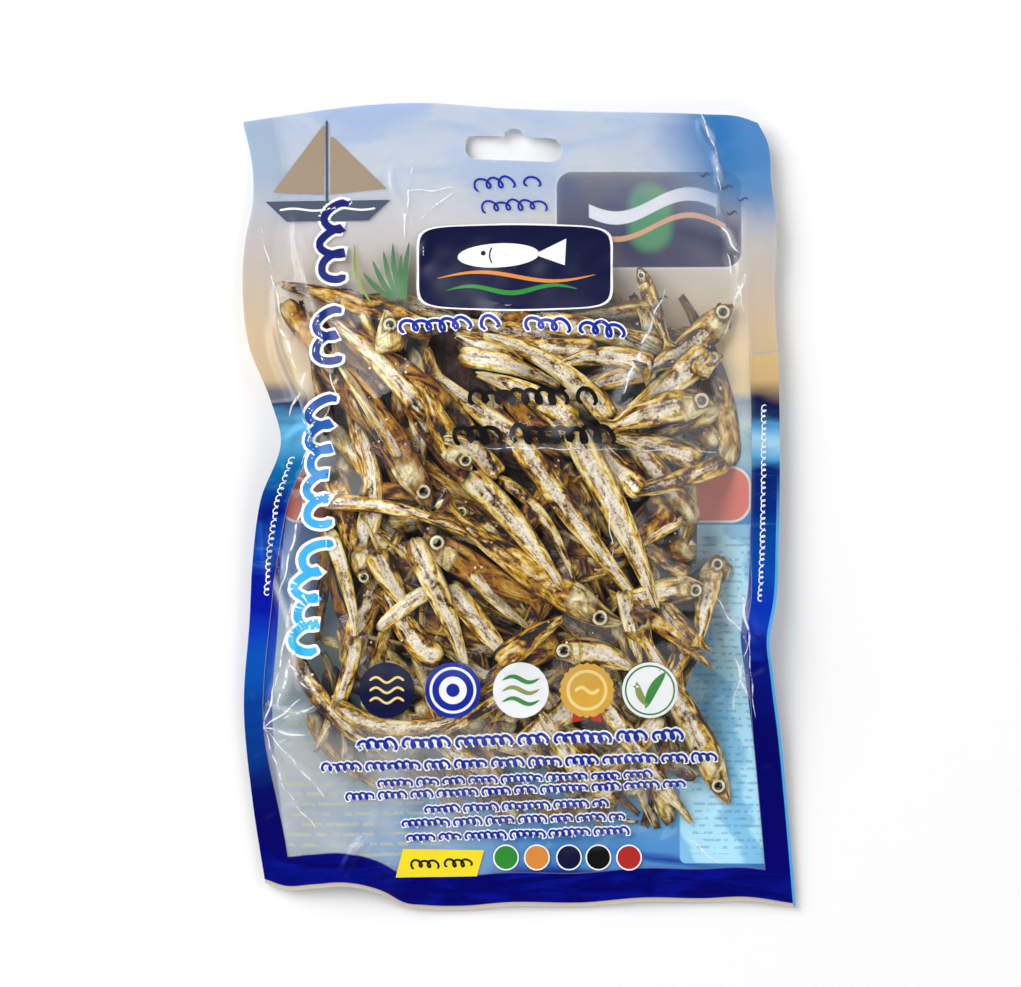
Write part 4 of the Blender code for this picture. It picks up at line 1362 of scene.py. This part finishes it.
def loose_scales(fish):
    """Scales and crumbs that have come off the fish and lie on them."""
    f = Finish("loose scales")
    tint = f.noise(f.place(), 700.0, 2.0)
    colour = f.ramp(tint, [(0.32, "5A3A18"), (0.46, "B89A62"), (0.56, "DDD2BC"), (0.70, "F6F2EA")])
    finish = f.finish(f.shader(Base_Color=colour, Roughness=0.35))
    points, faces, count = [], [], 0
    for thing in fish:
        own = points_of(thing)
        upward = [p.vertices for p in thing.data.polygons if p.normal.z > FACES_UP and len(p.vertices) == 4]
        points.append(own + np.array([0, 0, SCALE_LIFT]))
        faces += [[v + count for v in p] for p in upward]
        count += len(own)
    thing = mesh_object("scales_bed", np.concatenate(points), faces)
    scatter = thing.modifiers.new("scatter", "NODES")
    scatter.node_group = scale_tree(finish)
    seen = thing.evaluated_get(bpy.context.evaluated_depsgraph_get())
    mesh = bpy.data.meshes.new_from_object(seen)
    thing.modifiers.clear()
    bpy.data.objects.remove(thing)
    mesh.name = "loose_scales"
    scales = bpy.data.objects.new("loose_scales", mesh)
    bpy.context.scene.collection.objects.link(scales)
    return scales


# The print on the front film: plain shapes, laid on the film in ink, with painted white glints along its
# creases laid the same way

INKS = {
    "navy": "0B1038", "white": "F2F4F6", "blue": "14289C", "black": "0B0B0D", "orange": "D98A3C",
    "green": "2F8A36", "gold": "D6A43C", "pale_gold": "F0D488", "red": "B02A26", "yellow": "F2DC2A",
    "sail": "A08C78", "slate": "4C5668", "reed": "8C9A54", "leaf": "4F7A55",
}
# How far each layer of ink stands off the last, the cells of a shape in millimetres, and a first guess at
# the film's height
INK_LIFT = 0.05 * MM
INK_CELL = 1.15
INK_HEIGHT = 12.0 * MM


class Ink:
    """Flat grids of points in millimetres, each of one ink and one layer."""

    def __init__(self):
        self.grids = []

    def lay(self, ink, points, layer=0, closed=False):
        self.grids.append((ink, points, layer, closed))

    def disc(self, ink, middle, radius, layer=0, shape=None, flat=1.0, tilt=0.0):
        """A round patch, or one whose radius changes with the angle by shape."""
        steps = max(24, int(math.tau * radius / INK_CELL))
        angle = np.linspace(0, math.tau, steps, endpoint=False)
        edge = radius * (shape(angle) if shape else np.ones(steps))
        share = np.linspace(1, 0.02, max(3, int(radius / INK_CELL) + 2))[:, None]
        x, y = share * edge * np.cos(angle), share * edge * np.sin(angle) * flat
        c, s = math.cos(tilt), math.sin(tilt)
        points = np.stack([middle[0] + x * c - y * s, middle[1] + x * s + y * c], axis=-1)
        self.lay(ink, points, layer, closed=True)

    def patch(self, ink, corners, layer=0):
        """A patch with four corners: lower left, lower right, upper right, upper left."""
        a, b, c, d = (np.array(p, dtype=float) for p in corners)
        across = max(np.hypot(*(b - a)), np.hypot(*(c - d)))
        along = max(np.hypot(*(d - a)), np.hypot(*(c - b)))
        u = np.linspace(0, 1, int(across / INK_CELL) + 2)[None, :, None]
        v = np.linspace(0, 1, int(along / INK_CELL) + 2)[:, None, None]
        self.lay(ink, a * (1 - u) * (1 - v) + b * u * (1 - v) + c * u * v + d * (1 - u) * v, layer)

    def stroke(self, ink, path, width, layer=0, taper=False):
        """A line of one width with round ends, or one that thins towards both ends."""
        path = np.array(path, dtype=float)
        run = np.concatenate([[0], np.cumsum(np.hypot(*np.diff(path, axis=0).T))])
        grown = width / 2
        count = max(6, int((run[-1] + width) / min(INK_CELL, max(0.5, width * 0.6))) + 2)
        at = np.linspace(-grown, run[-1] + grown, count)
        inside = np.clip(at, 0, run[-1])
        middle = np.stack([np.interp(inside, run, path[:, k]) for k in (0, 1)], axis=-1)
        ahead = np.stack([np.interp(inside + 0.2, run, path[:, k]) for k in (0, 1)], axis=-1)
        behind = np.stack([np.interp(inside - 0.2, run, path[:, k]) for k in (0, 1)], axis=-1)
        heading = ahead - behind
        heading /= np.maximum(np.linalg.norm(heading, axis=1, keepdims=True), 1e-9)
        middle += heading * (at - inside)[:, None]
        across = np.stack([-heading[:, 1], heading[:, 0]], axis=-1)
        past = np.clip(np.abs(at - inside) / grown, 0, 0.98)
        half = grown * np.sqrt(1 - past**2)
        if taper:
            half = half * np.sin(np.clip((at + grown) / (run[-1] + width), 0.03, 0.97) * math.pi) ** 0.6
        off = np.linspace(-1, 1, max(2, int(width / INK_CELL) + 2))
        points = middle[:, None, :] + across[:, None, :] * (half[:, None] * off[None, :])[:, :, None]
        self.lay(ink, points[:, ::-1], layer)

    def build(self, name, film):
        """The ink laid on the film, as it is seen from the camera, as one mesh."""
        tree = tree_of([film])
        points, faces, slots, count = [], [], [], 0
        inks = list(INKS) + ["script", "glint"]
        middle = np.array(VIEW_MIDDLE)
        for ink, grid, layer, closed in self.grids:
            places = grid.reshape(-1, 2)
            heights = np.full(len(places), INK_HEIGHT)
            for _ in range(2):
                share = ((CAMERA_HEIGHT - heights) / (CAMERA_HEIGHT - SEAL_PLANE))[:, None]
                on_table = middle + (places * MM - middle) * share
                heights = height_under(tree, on_table[:, 0], on_table[:, 1], heights)
            points.append(np.column_stack([on_table, heights + INK_LIFT * (1 + layer)]))
            made = grid_faces(*grid.shape[:2], count, closed).reshape(-1, 4)
            faces.append(made)
            slots += [inks.index(ink)] * len(made)
            count += len(places)
        thing = mesh_object(name, np.concatenate(points), np.concatenate(faces), slots)
        for ink, code in INKS.items():
            thing.data.materials.append(ink_finish(ink, code))
        thing.data.materials.append(script_finish())
        thing.data.materials.append(glint_finish())
        return thing


def ink_finish(name, code):
    """Ink with a soft gloss."""
    f = Finish(name + " ink")
    return f.finish(f.shader(Base_Color=rgb(code), Roughness=0.32, Specular_IOR_Level=0.3))


def glint_finish():
    """White, broken lines of light along the film's fine creases."""
    f = Finish("painted crease glint")
    broken = f.noise(f.place(), 260.0, 2.0).rise(0.36, 0.56)
    return f.finish(f.shader(Base_Color=rgb("FFFFFF"), Roughness=0.3, Alpha=broken * 0.75))


def script_finish():
    """The tall script's ink, navy at the top and sky blue at the bottom."""
    f = Finish("fading ink")
    y = f.split(f.place())[1]
    down = (y / MM + 50.0) / 150.0
    colour = f.ramp(
        down, [(0.0, "35B4EA"), (0.30, "2E9FDE"), (0.48, "1D5FB0"), (0.62, "16307E"), (1.0, "1C1F6E")],
    )
    return f.finish(f.shader(Base_Color=colour, Roughness=0.32, Specular_IOR_Level=0.3))


def scribble(start, end, height, pitch, rng, words=True, loop=0.38):
    """Looped pen strokes along a line, in groups, that say nothing."""
    start, end = np.array(start, dtype=float), np.array(end, dtype=float)
    run = np.hypot(*(end - start))
    along = (end - start) / run
    up = np.array([-along[1], along[0]])
    made, at = [], 0.0
    while at < run - pitch * 1.2:
        loops = min(int(rng.integers(3, 8)) if words else 99, int((run - at) / pitch))
        if loops < 1:
            break
        turn = np.linspace(0, math.tau * loops, loops * 18 + 1)
        sizes = np.interp(turn, np.arange(2 * loops + 1) * math.pi, rng.uniform(0.55, 1.0, 2 * loops + 1))
        x = at + pitch * turn / math.tau - pitch * loop * np.sin(turn) + 0.22 * height * np.cos(turn) * sizes
        y = -height * sizes * np.cos(turn)
        made.append(start + along * x[:, None] + up * y[:, None])
        at += pitch * (loops + 1.1)
    return made


def wave(start, end, height, count, steps=30):
    """A wavy line between two places."""
    t = np.linspace(0, 1, steps)
    start, end = np.array(start, dtype=float), np.array(end, dtype=float)
    up = np.array([-(end - start)[1], (end - start)[0]]) / np.hypot(*(end - start))
    return start + (end - start) * t[:, None] + up * (height * np.sin(math.tau * count * t))[:, None]


# Lines of pen strokes: ink, start, end, half height, pitch, stroke, white edge
LINES = [
    ("script", (-71.5, -48.0), (-68.0, -12.0), 5.4, 8.8, 2.7, 1.9),
    ("script", (-67.0, -6.0), (-65.0, 42.0), 4.8, 8.2, 2.6, 1.8),
    ("script", (-64.5, 48.0), (-63.0, 69.0), 4.8, 8.2, 2.6, 1.8),
    ("script", (-62.5, 75.0), (-60.5, 102.0), 4.8, 8.2, 2.5, 1.8),
    ("blue", (-14.5, 106.3), (9.0, 107.6), 2.3, 4.0, 0.7, 0.0),
    ("blue", (-12.0, 99.0), (8.0, 99.6), 2.1, 4.0, 0.65, 0.0),
    ("blue", (-39.0, 59.6), (-4.0, 61.0), 2.5, 4.4, 1.1, 1.1),
    ("blue", (2.5, 60.8), (36.0, 57.8), 2.5, 4.4, 1.1, 1.1),
    ("black", (-16.0, 36.0), (26.5, 36.6), 2.8, 4.4, 1.45, 0.0),
    ("black", (-21.0, 24.0), (32.0, 23.6), 3.5, 4.6, 1.55, 0.0),
    ("blue", (-53.0, -78.7), (54.5, -75.2), 1.8, 2.9, 1.0, 1.3),
    ("blue", (-65.0, -86.2), (65.0, -82.6), 1.5, 2.4, 0.85, 1.2),
    ("blue", (-46.5, -91.4), (44.5, -88.2), 1.25, 2.1, 0.75, 1.1),
    ("blue", (-57.0, -95.8), (56.0, -91.4), 1.25, 2.1, 0.75, 1.1),
    ("blue", (-31.0, -100.0), (30.5, -97.8), 1.25, 2.1, 0.75, 1.1),
    ("blue", (-38.5, -104.6), (36.0, -102.2), 1.25, 2.1, 0.75, 1.1),
    ("blue", (-37.0, -109.4), (35.5, -106.9), 1.25, 2.1, 0.75, 1.1),
    ("black", (-35.5, -118.0), (-15.5, -117.4), 1.5, 2.7, 0.7, 0.0),
]
# The round stickers: how far up the pouch their row is, their radius, and where each is across it
SEAL_ROW = -60.6
SEAL_RADIUS = 9.2
SEALS = {"harbour": -43.9, "ring": -22.1, "waves": 0.3, "rosette": 22.1, "leaf": 42.9}
# The ribbons under the rosette, each by its corners from its middle
RIBBONS = (
    ((-5.0, -10.6), (-1.4, -10.0), (-0.6, -6.0), (-4.4, -6.6)),
    ((1.4, -10.0), (5.0, -10.6), (4.4, -6.6), (0.6, -6.0)),
)
# The coloured dots: where each is across the pouch, their row, and the radii of the white rim and the dot
PRINT_DOTS = {"green": -4.6, "orange": 5.6, "navy": 16.2, "black": 25.9, "red": 36.0}
DOT_ROW = -115.8
DOT_RADII = (4.3, 3.8)
TAG = ((-41.0, -122.4), (-14.2, -122.0), (-11.8, -113.4), (-38.6, -113.0))
# The boat's sails and hull by their corners, the reeds by lean and height, the birds by place and half width
SAILS = (
    ((-81.5, 103.6), (-64.9, 103.0), (-64.2, 125.6), (-65.0, 125.6)),
    ((-62.6, 103.0), (-44.0, 105.0), (-61.6, 122.0), (-62.6, 122.0)),
)
HULL = ((-77.0, 94.0), (-50.0, 94.4), (-42.6, 101.2), (-84.0, 100.6))
REEDS = ((-9.0, 12.0), (-6.0, 15.0), (-3.4, 17.5), (-1.0, 14.0), (1.2, 18.0), (-11.5, 8.0))
REED_FOOT = (-38.0, 68.5)
BIRDS = ((68.0, 105.0, 2.2), (73.5, 101.0, 1.8), (70.0, 96.5, 1.6), (61.0, 109.0, 1.5), (47.0, 68.5, 1.6))


def lay_plaque(ink):
    """A navy plaque with a plain fish over two waves."""
    middle, half = np.array([-1.7, 79.0]), (31.6, 13.2)

    def barrel(angle):
        x, y = np.abs(np.cos(angle)), np.abs(np.sin(angle))
        reach = 1 / (x**7 + (y * half[0] / half[1]) ** 7) ** (1 / 7)
        return reach * (1 + 0.05 * y * (1 - (reach * np.cos(angle)) ** 2))

    ink.disc("white", middle, half[0] + 0.7, 0, lambda a: barrel(a) * (1 + 0.022 * np.abs(np.sin(a))))
    ink.disc("navy", middle, half[0], 1, barrel)
    body, tail = middle + (-3.0, 4.0), ((8.0, 3.6), (16.5, 0.6), (17.0, 9.4), (8.0, 5.0))
    ink.disc("white", body, 13.0, 2, lambda a: 1 / (1 + 0.18 * np.cos(a)), flat=0.30, tilt=0.05)
    ink.patch("white", [middle + corner for corner in tail], 2)
    ink.disc("navy", middle + (-10.4, 4.6), 0.8, 3)
    ink.stroke("navy", wave(middle + (-7.6, 1.4), middle + (-7.6, 6.4), 0.7, 0.5), 0.5, 3)
    ink.stroke("orange", wave(middle + (-25.0, -3.6), middle + (26.0, -2.6), 1.7, 1.0), 1.3, 2, taper=True)
    ink.stroke("green", wave(middle + (-22.0, -7.6), middle + (20.0, -7.0), 1.2, 1.5), 1.6, 2, taper=True)


def lay_seals(ink):
    """Five round stickers over the fish, with plain motifs."""
    at = {name: np.array([x, SEAL_ROW]) for name, x in SEALS.items()}

    def rounds(name, *discs, first=0):
        """Discs laid one on the other, each an ink and a share of the sticker's radius."""
        for layer, (colour, share) in enumerate(discs, first):
            ink.disc(colour, at[name], SEAL_RADIUS * share, layer)

    def waves(name, rows, half, height, count, width, taper):
        """Wavy lines across a sticker, each row at a height from its middle and of one ink."""
        for row, colour in rows:
            path = wave(at[name] + (-half, row), at[name] + (half, row), height, count)
            ink.stroke(colour, path, width, 1, taper)

    rounds("harbour", ("navy", 1))
    waves("harbour", [(row, "pale_gold") for row in (-3.4, 0.0, 3.4)], 5.4, 0.9, 1.5, 0.8, False)
    rounds("ring", ("blue", 1), ("white", 0.84), ("blue", 0.74), ("white", 0.50), ("blue", 0.24))
    rounds("waves", ("white", 1))
    waves("waves", [(-3.6, "green"), (0.0, "reed"), (3.6, "green")], 5.6, 1.0, 1.0, 1.5, True)
    middle = at["rosette"]
    for ribbon in RIBBONS:
        ink.patch("red", [middle + corner for corner in ribbon], 0)
    ink.disc("gold", middle, SEAL_RADIUS * 0.97, 1, lambda a: 1 + 0.045 * np.cos(20 * a))
    rounds("rosette", ("pale_gold", 0.74), ("gold", 0.62), first=2)
    ink.stroke("pale_gold", wave(middle + (-3.6, 0), middle + (3.6, 0), 1.0, 1.0), 1.2, 4)
    rounds("leaf", ("white", 1), ("green", 0.90), ("white", 0.84))
    middle = at["leaf"]
    ink.stroke("green", wave(middle + (-1.0, -4.6), middle + (4.2, 4.8), 0.6, 0.5), 3.0, 3, taper=True)
    ink.stroke("reed", wave(middle + (-1.4, -4.4), middle + (-4.2, 1.6), 0.5, 0.5), 2.4, 3, taper=True)


def lay_header(ink):
    """A small boat, reeds and birds, above and beside the plaque."""
    for sail in SAILS:
        ink.patch("sail", sail, 0)
    ink.stroke("slate", [(-63.7, 101.0), (-63.7, 127.0)], 0.8, 1)
    ink.patch("slate", HULL, 0)
    ink.stroke("white", wave((-79.0, 97.8), (-48.0, 98.4), 0.4, 2.0), 0.7, 1)
    for lean, tall in REEDS:
        foot = np.array([REED_FOOT[0] + lean * 0.35, REED_FOOT[1]])
        ink.stroke("leaf", wave(foot, foot + (lean * 0.8, tall), 0.7, 0.5), 1.7, 0, taper=True)
    ink.stroke("reed", wave((-49.0, 67.0), (-54.5, 86.0), 2.0, 0.5), 1.2, 0, taper=True)
    for x, y, size in BIRDS:
        ink.stroke("slate", wave((x - size, y + 0.5), (x + size, y + 0.3), -0.6, 1.0), 0.7, 0, taper=True)


def lay_borders(ink, rng):
    """Fine pale strokes down both sides, where a pack has its small print."""
    for edge, inward, low, high in ((LEFT_EDGE, 5.0, -29.0, 17.0), (RIGHT_EDGE, -5.0, -31.0, 34.0)):
        stops = np.array(edge)
        path = np.linspace(low, high, 12)
        x = np.interp(path, stops[:, 1], stops[:, 0]) + inward
        places = list(zip(x, path))
        for ends in zip(places, places[1:]):
            for line in scribble(*ends, 0.95, 1.7, rng):
                ink.stroke("white", line, 0.38, 1)


def lay_creases(ink, rng):
    """Fine, slightly bent white lines along the film's creases, painted as glints."""
    for start, end, half, strength in CREASES:
        run = math.dist(start, end)
        path = wave(start, end, rng.uniform(0.2, 0.5), max(1.0, run / 11))
        ink.stroke("glint", path, min(0.25 + 0.9 * half * strength, 0.8), 0, taper=True)


def lay_print(film):
    """All the ink on the front film, and the painted glints along its creases."""
    rng = np.random.default_rng(11)
    ink = Ink()
    lay_header(ink)
    lay_plaque(ink)
    for colour, start, end, height, pitch, width, white in LINES:
        tall = colour == "script"
        for line in scribble(start, end, height, pitch, rng, words=not tall, loop=0.24 if tall else 0.38):
            if white:
                ink.stroke("white", line, width + white, 0)
            ink.stroke(colour, line, width, 1)
    lay_seals(ink)
    ink.patch("yellow", TAG, 0)
    for colour, x in PRINT_DOTS.items():
        for layer, (shade, radius) in enumerate(zip(("white", colour), DOT_RADII)):
            ink.disc(shade, (x, DOT_ROW), radius, layer)
    lay_borders(ink, rng)
    lay_creases(ink, rng)
    return ink.build("front_print_and_glints", film)


# The camera, the light and the table

# The camera looks straight down at this middle, and sees this width at the height of the seals
VIEW_MIDDLE = (-3.1 * MM, 4.3 * MM)
VIEW_WIDTH = 336.9 * MM
SEAL_PLANE = 4.0 * MM
LENS = 85.0
SENSOR = 36.0
CAMERA_HEIGHT = SEAL_PLANE + VIEW_WIDTH * LENS / SENSOR
# The lamps: place and size in metres, and power
LAMPS = {
    "key": ((-0.80, 0.60, 0.75), (1.3, 0.9), 19.0),
    "right_fill": ((1.05, 0.1, 0.70), (0.7, 1.4), 6.5),
    "near_fill": ((0.1, -1.10, 0.75), (1.4, 0.7), 5.5),
}
# The soft light of the room, from straight below to straight above
ROOM_STOPS = [(0.0, 0.92), (0.22, 0.80), (0.55, 0.16), (1.0, 0.08)]
TABLE_SIZE = 16.0
TABLE_TOP = -0.05 * MM


def seen_from_camera(place, height):
    """Where a thing at a height in millimetres lies, if it is seen at this place on the seals."""
    share = (CAMERA_HEIGHT - height * MM) / (CAMERA_HEIGHT - SEAL_PLANE)
    return tuple(m / MM + (p - m / MM) * share for p, m in zip(place, VIEW_MIDDLE))


def area_light(name, place, size, power):
    """A white lamp that faces the middle of the table."""
    light = bpy.data.lights.new(name, "AREA")
    light.shape = "RECTANGLE"
    light.size, light.size_y = size
    light.energy = power
    lamp = bpy.data.objects.new(name, light)
    lamp.location = place
    lamp.rotation_euler = (-Vector(place)).to_track_quat("-Z", "Y").to_euler()
    bpy.context.scene.collection.objects.link(lamp)


def pale_table():
    """A pale table that stays light far from the lamps."""
    f = Finish("pale table")
    x, y, _ = f.split(f.place())
    far = (x * x + y * y).rise(0.10, 2.2)
    glow = f.mix(far, (0, 0, 0, 1), (0.72, 0.72, 0.72, 1))
    surface = f.shader(
        Base_Color=(0.93, 0.93, 0.93, 1), Roughness=0.7, Emission_Color=glow, Emission_Strength=1.0,
    )
    return f.finish(surface)


def set_stage():
    """The camera above, the lamps, the room and the table."""
    scene = bpy.context.scene
    camera = bpy.data.cameras.new("camera")
    camera.lens, camera.sensor_width = LENS, SENSOR
    holder = bpy.data.objects.new("camera", camera)
    holder.location = (*VIEW_MIDDLE, CAMERA_HEIGHT)
    scene.collection.objects.link(holder)
    scene.camera = holder
    scene.view_settings.view_transform = "Standard"
    world = bpy.data.worlds.new("soft room")
    scene.world = world
    world.use_nodes = True
    nodes, links = world.node_tree.nodes, world.node_tree.links
    height = nodes.new("ShaderNodeSeparateXYZ")
    links.new(nodes.new("ShaderNodeTexCoord").outputs["Generated"], height.inputs[0])
    room = nodes.new("ShaderNodeValToRGB")
    set_stops(room.color_ramp, ROOM_STOPS)
    links.new(height.outputs["Z"], room.inputs["Fac"])
    links.new(room.outputs["Color"], nodes["Background"].inputs["Color"])
    for name, lamp in LAMPS.items():
        area_light(name, *lamp)
    bpy.ops.mesh.primitive_plane_add(size=TABLE_SIZE, location=(0, 0, TABLE_TOP))
    floor = bpy.context.object
    floor.name = "table"
    floor.data.materials.append(pale_table())


def main():
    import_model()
    low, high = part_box("pouch")
    columns, rows = (int(math.ceil((high[k] - low[k]) / CELL)) + 1 for k in (0, 1))
    y, x = np.mgrid[0:rows, 0:columns].astype(float)
    x, y = low[0] + (x + 0.5) * CELL, low[1] + (y + 0.5) * CELL
    nothing = np.zeros_like(x)
    front = height_under(tree_of([bpy.data.objects["pouch"]]), x, y, nothing)
    surface = seal_surface(ROUGH_CELLS)
    rough = np.dstack([surface[:, :, :2], pillow_heights(surface)[1]])
    guide = mesh_object("guide", rough.reshape(-1, 3), grid_faces(*rough.shape[:2]))
    back = height_under(tree_of([guide]), x, y, nothing)
    bpy.data.objects.remove(guide)
    fish = fill_pouch(low, front, back)
    core = core_heap(low, front, back)
    scales = loose_scales(fish)
    film = front_film([*fish, core])
    film.data.materials.append(window_film())
    film.data.materials.append(printed_front())
    under = back_film()
    under.data.materials.append(printed_back())
    ink = lay_print(film)
    everything = [film, ink, under, core, scales, *fish]
    for piece in everything:
        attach(piece, "root")
    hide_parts("pouch")
    set_stage()


main()
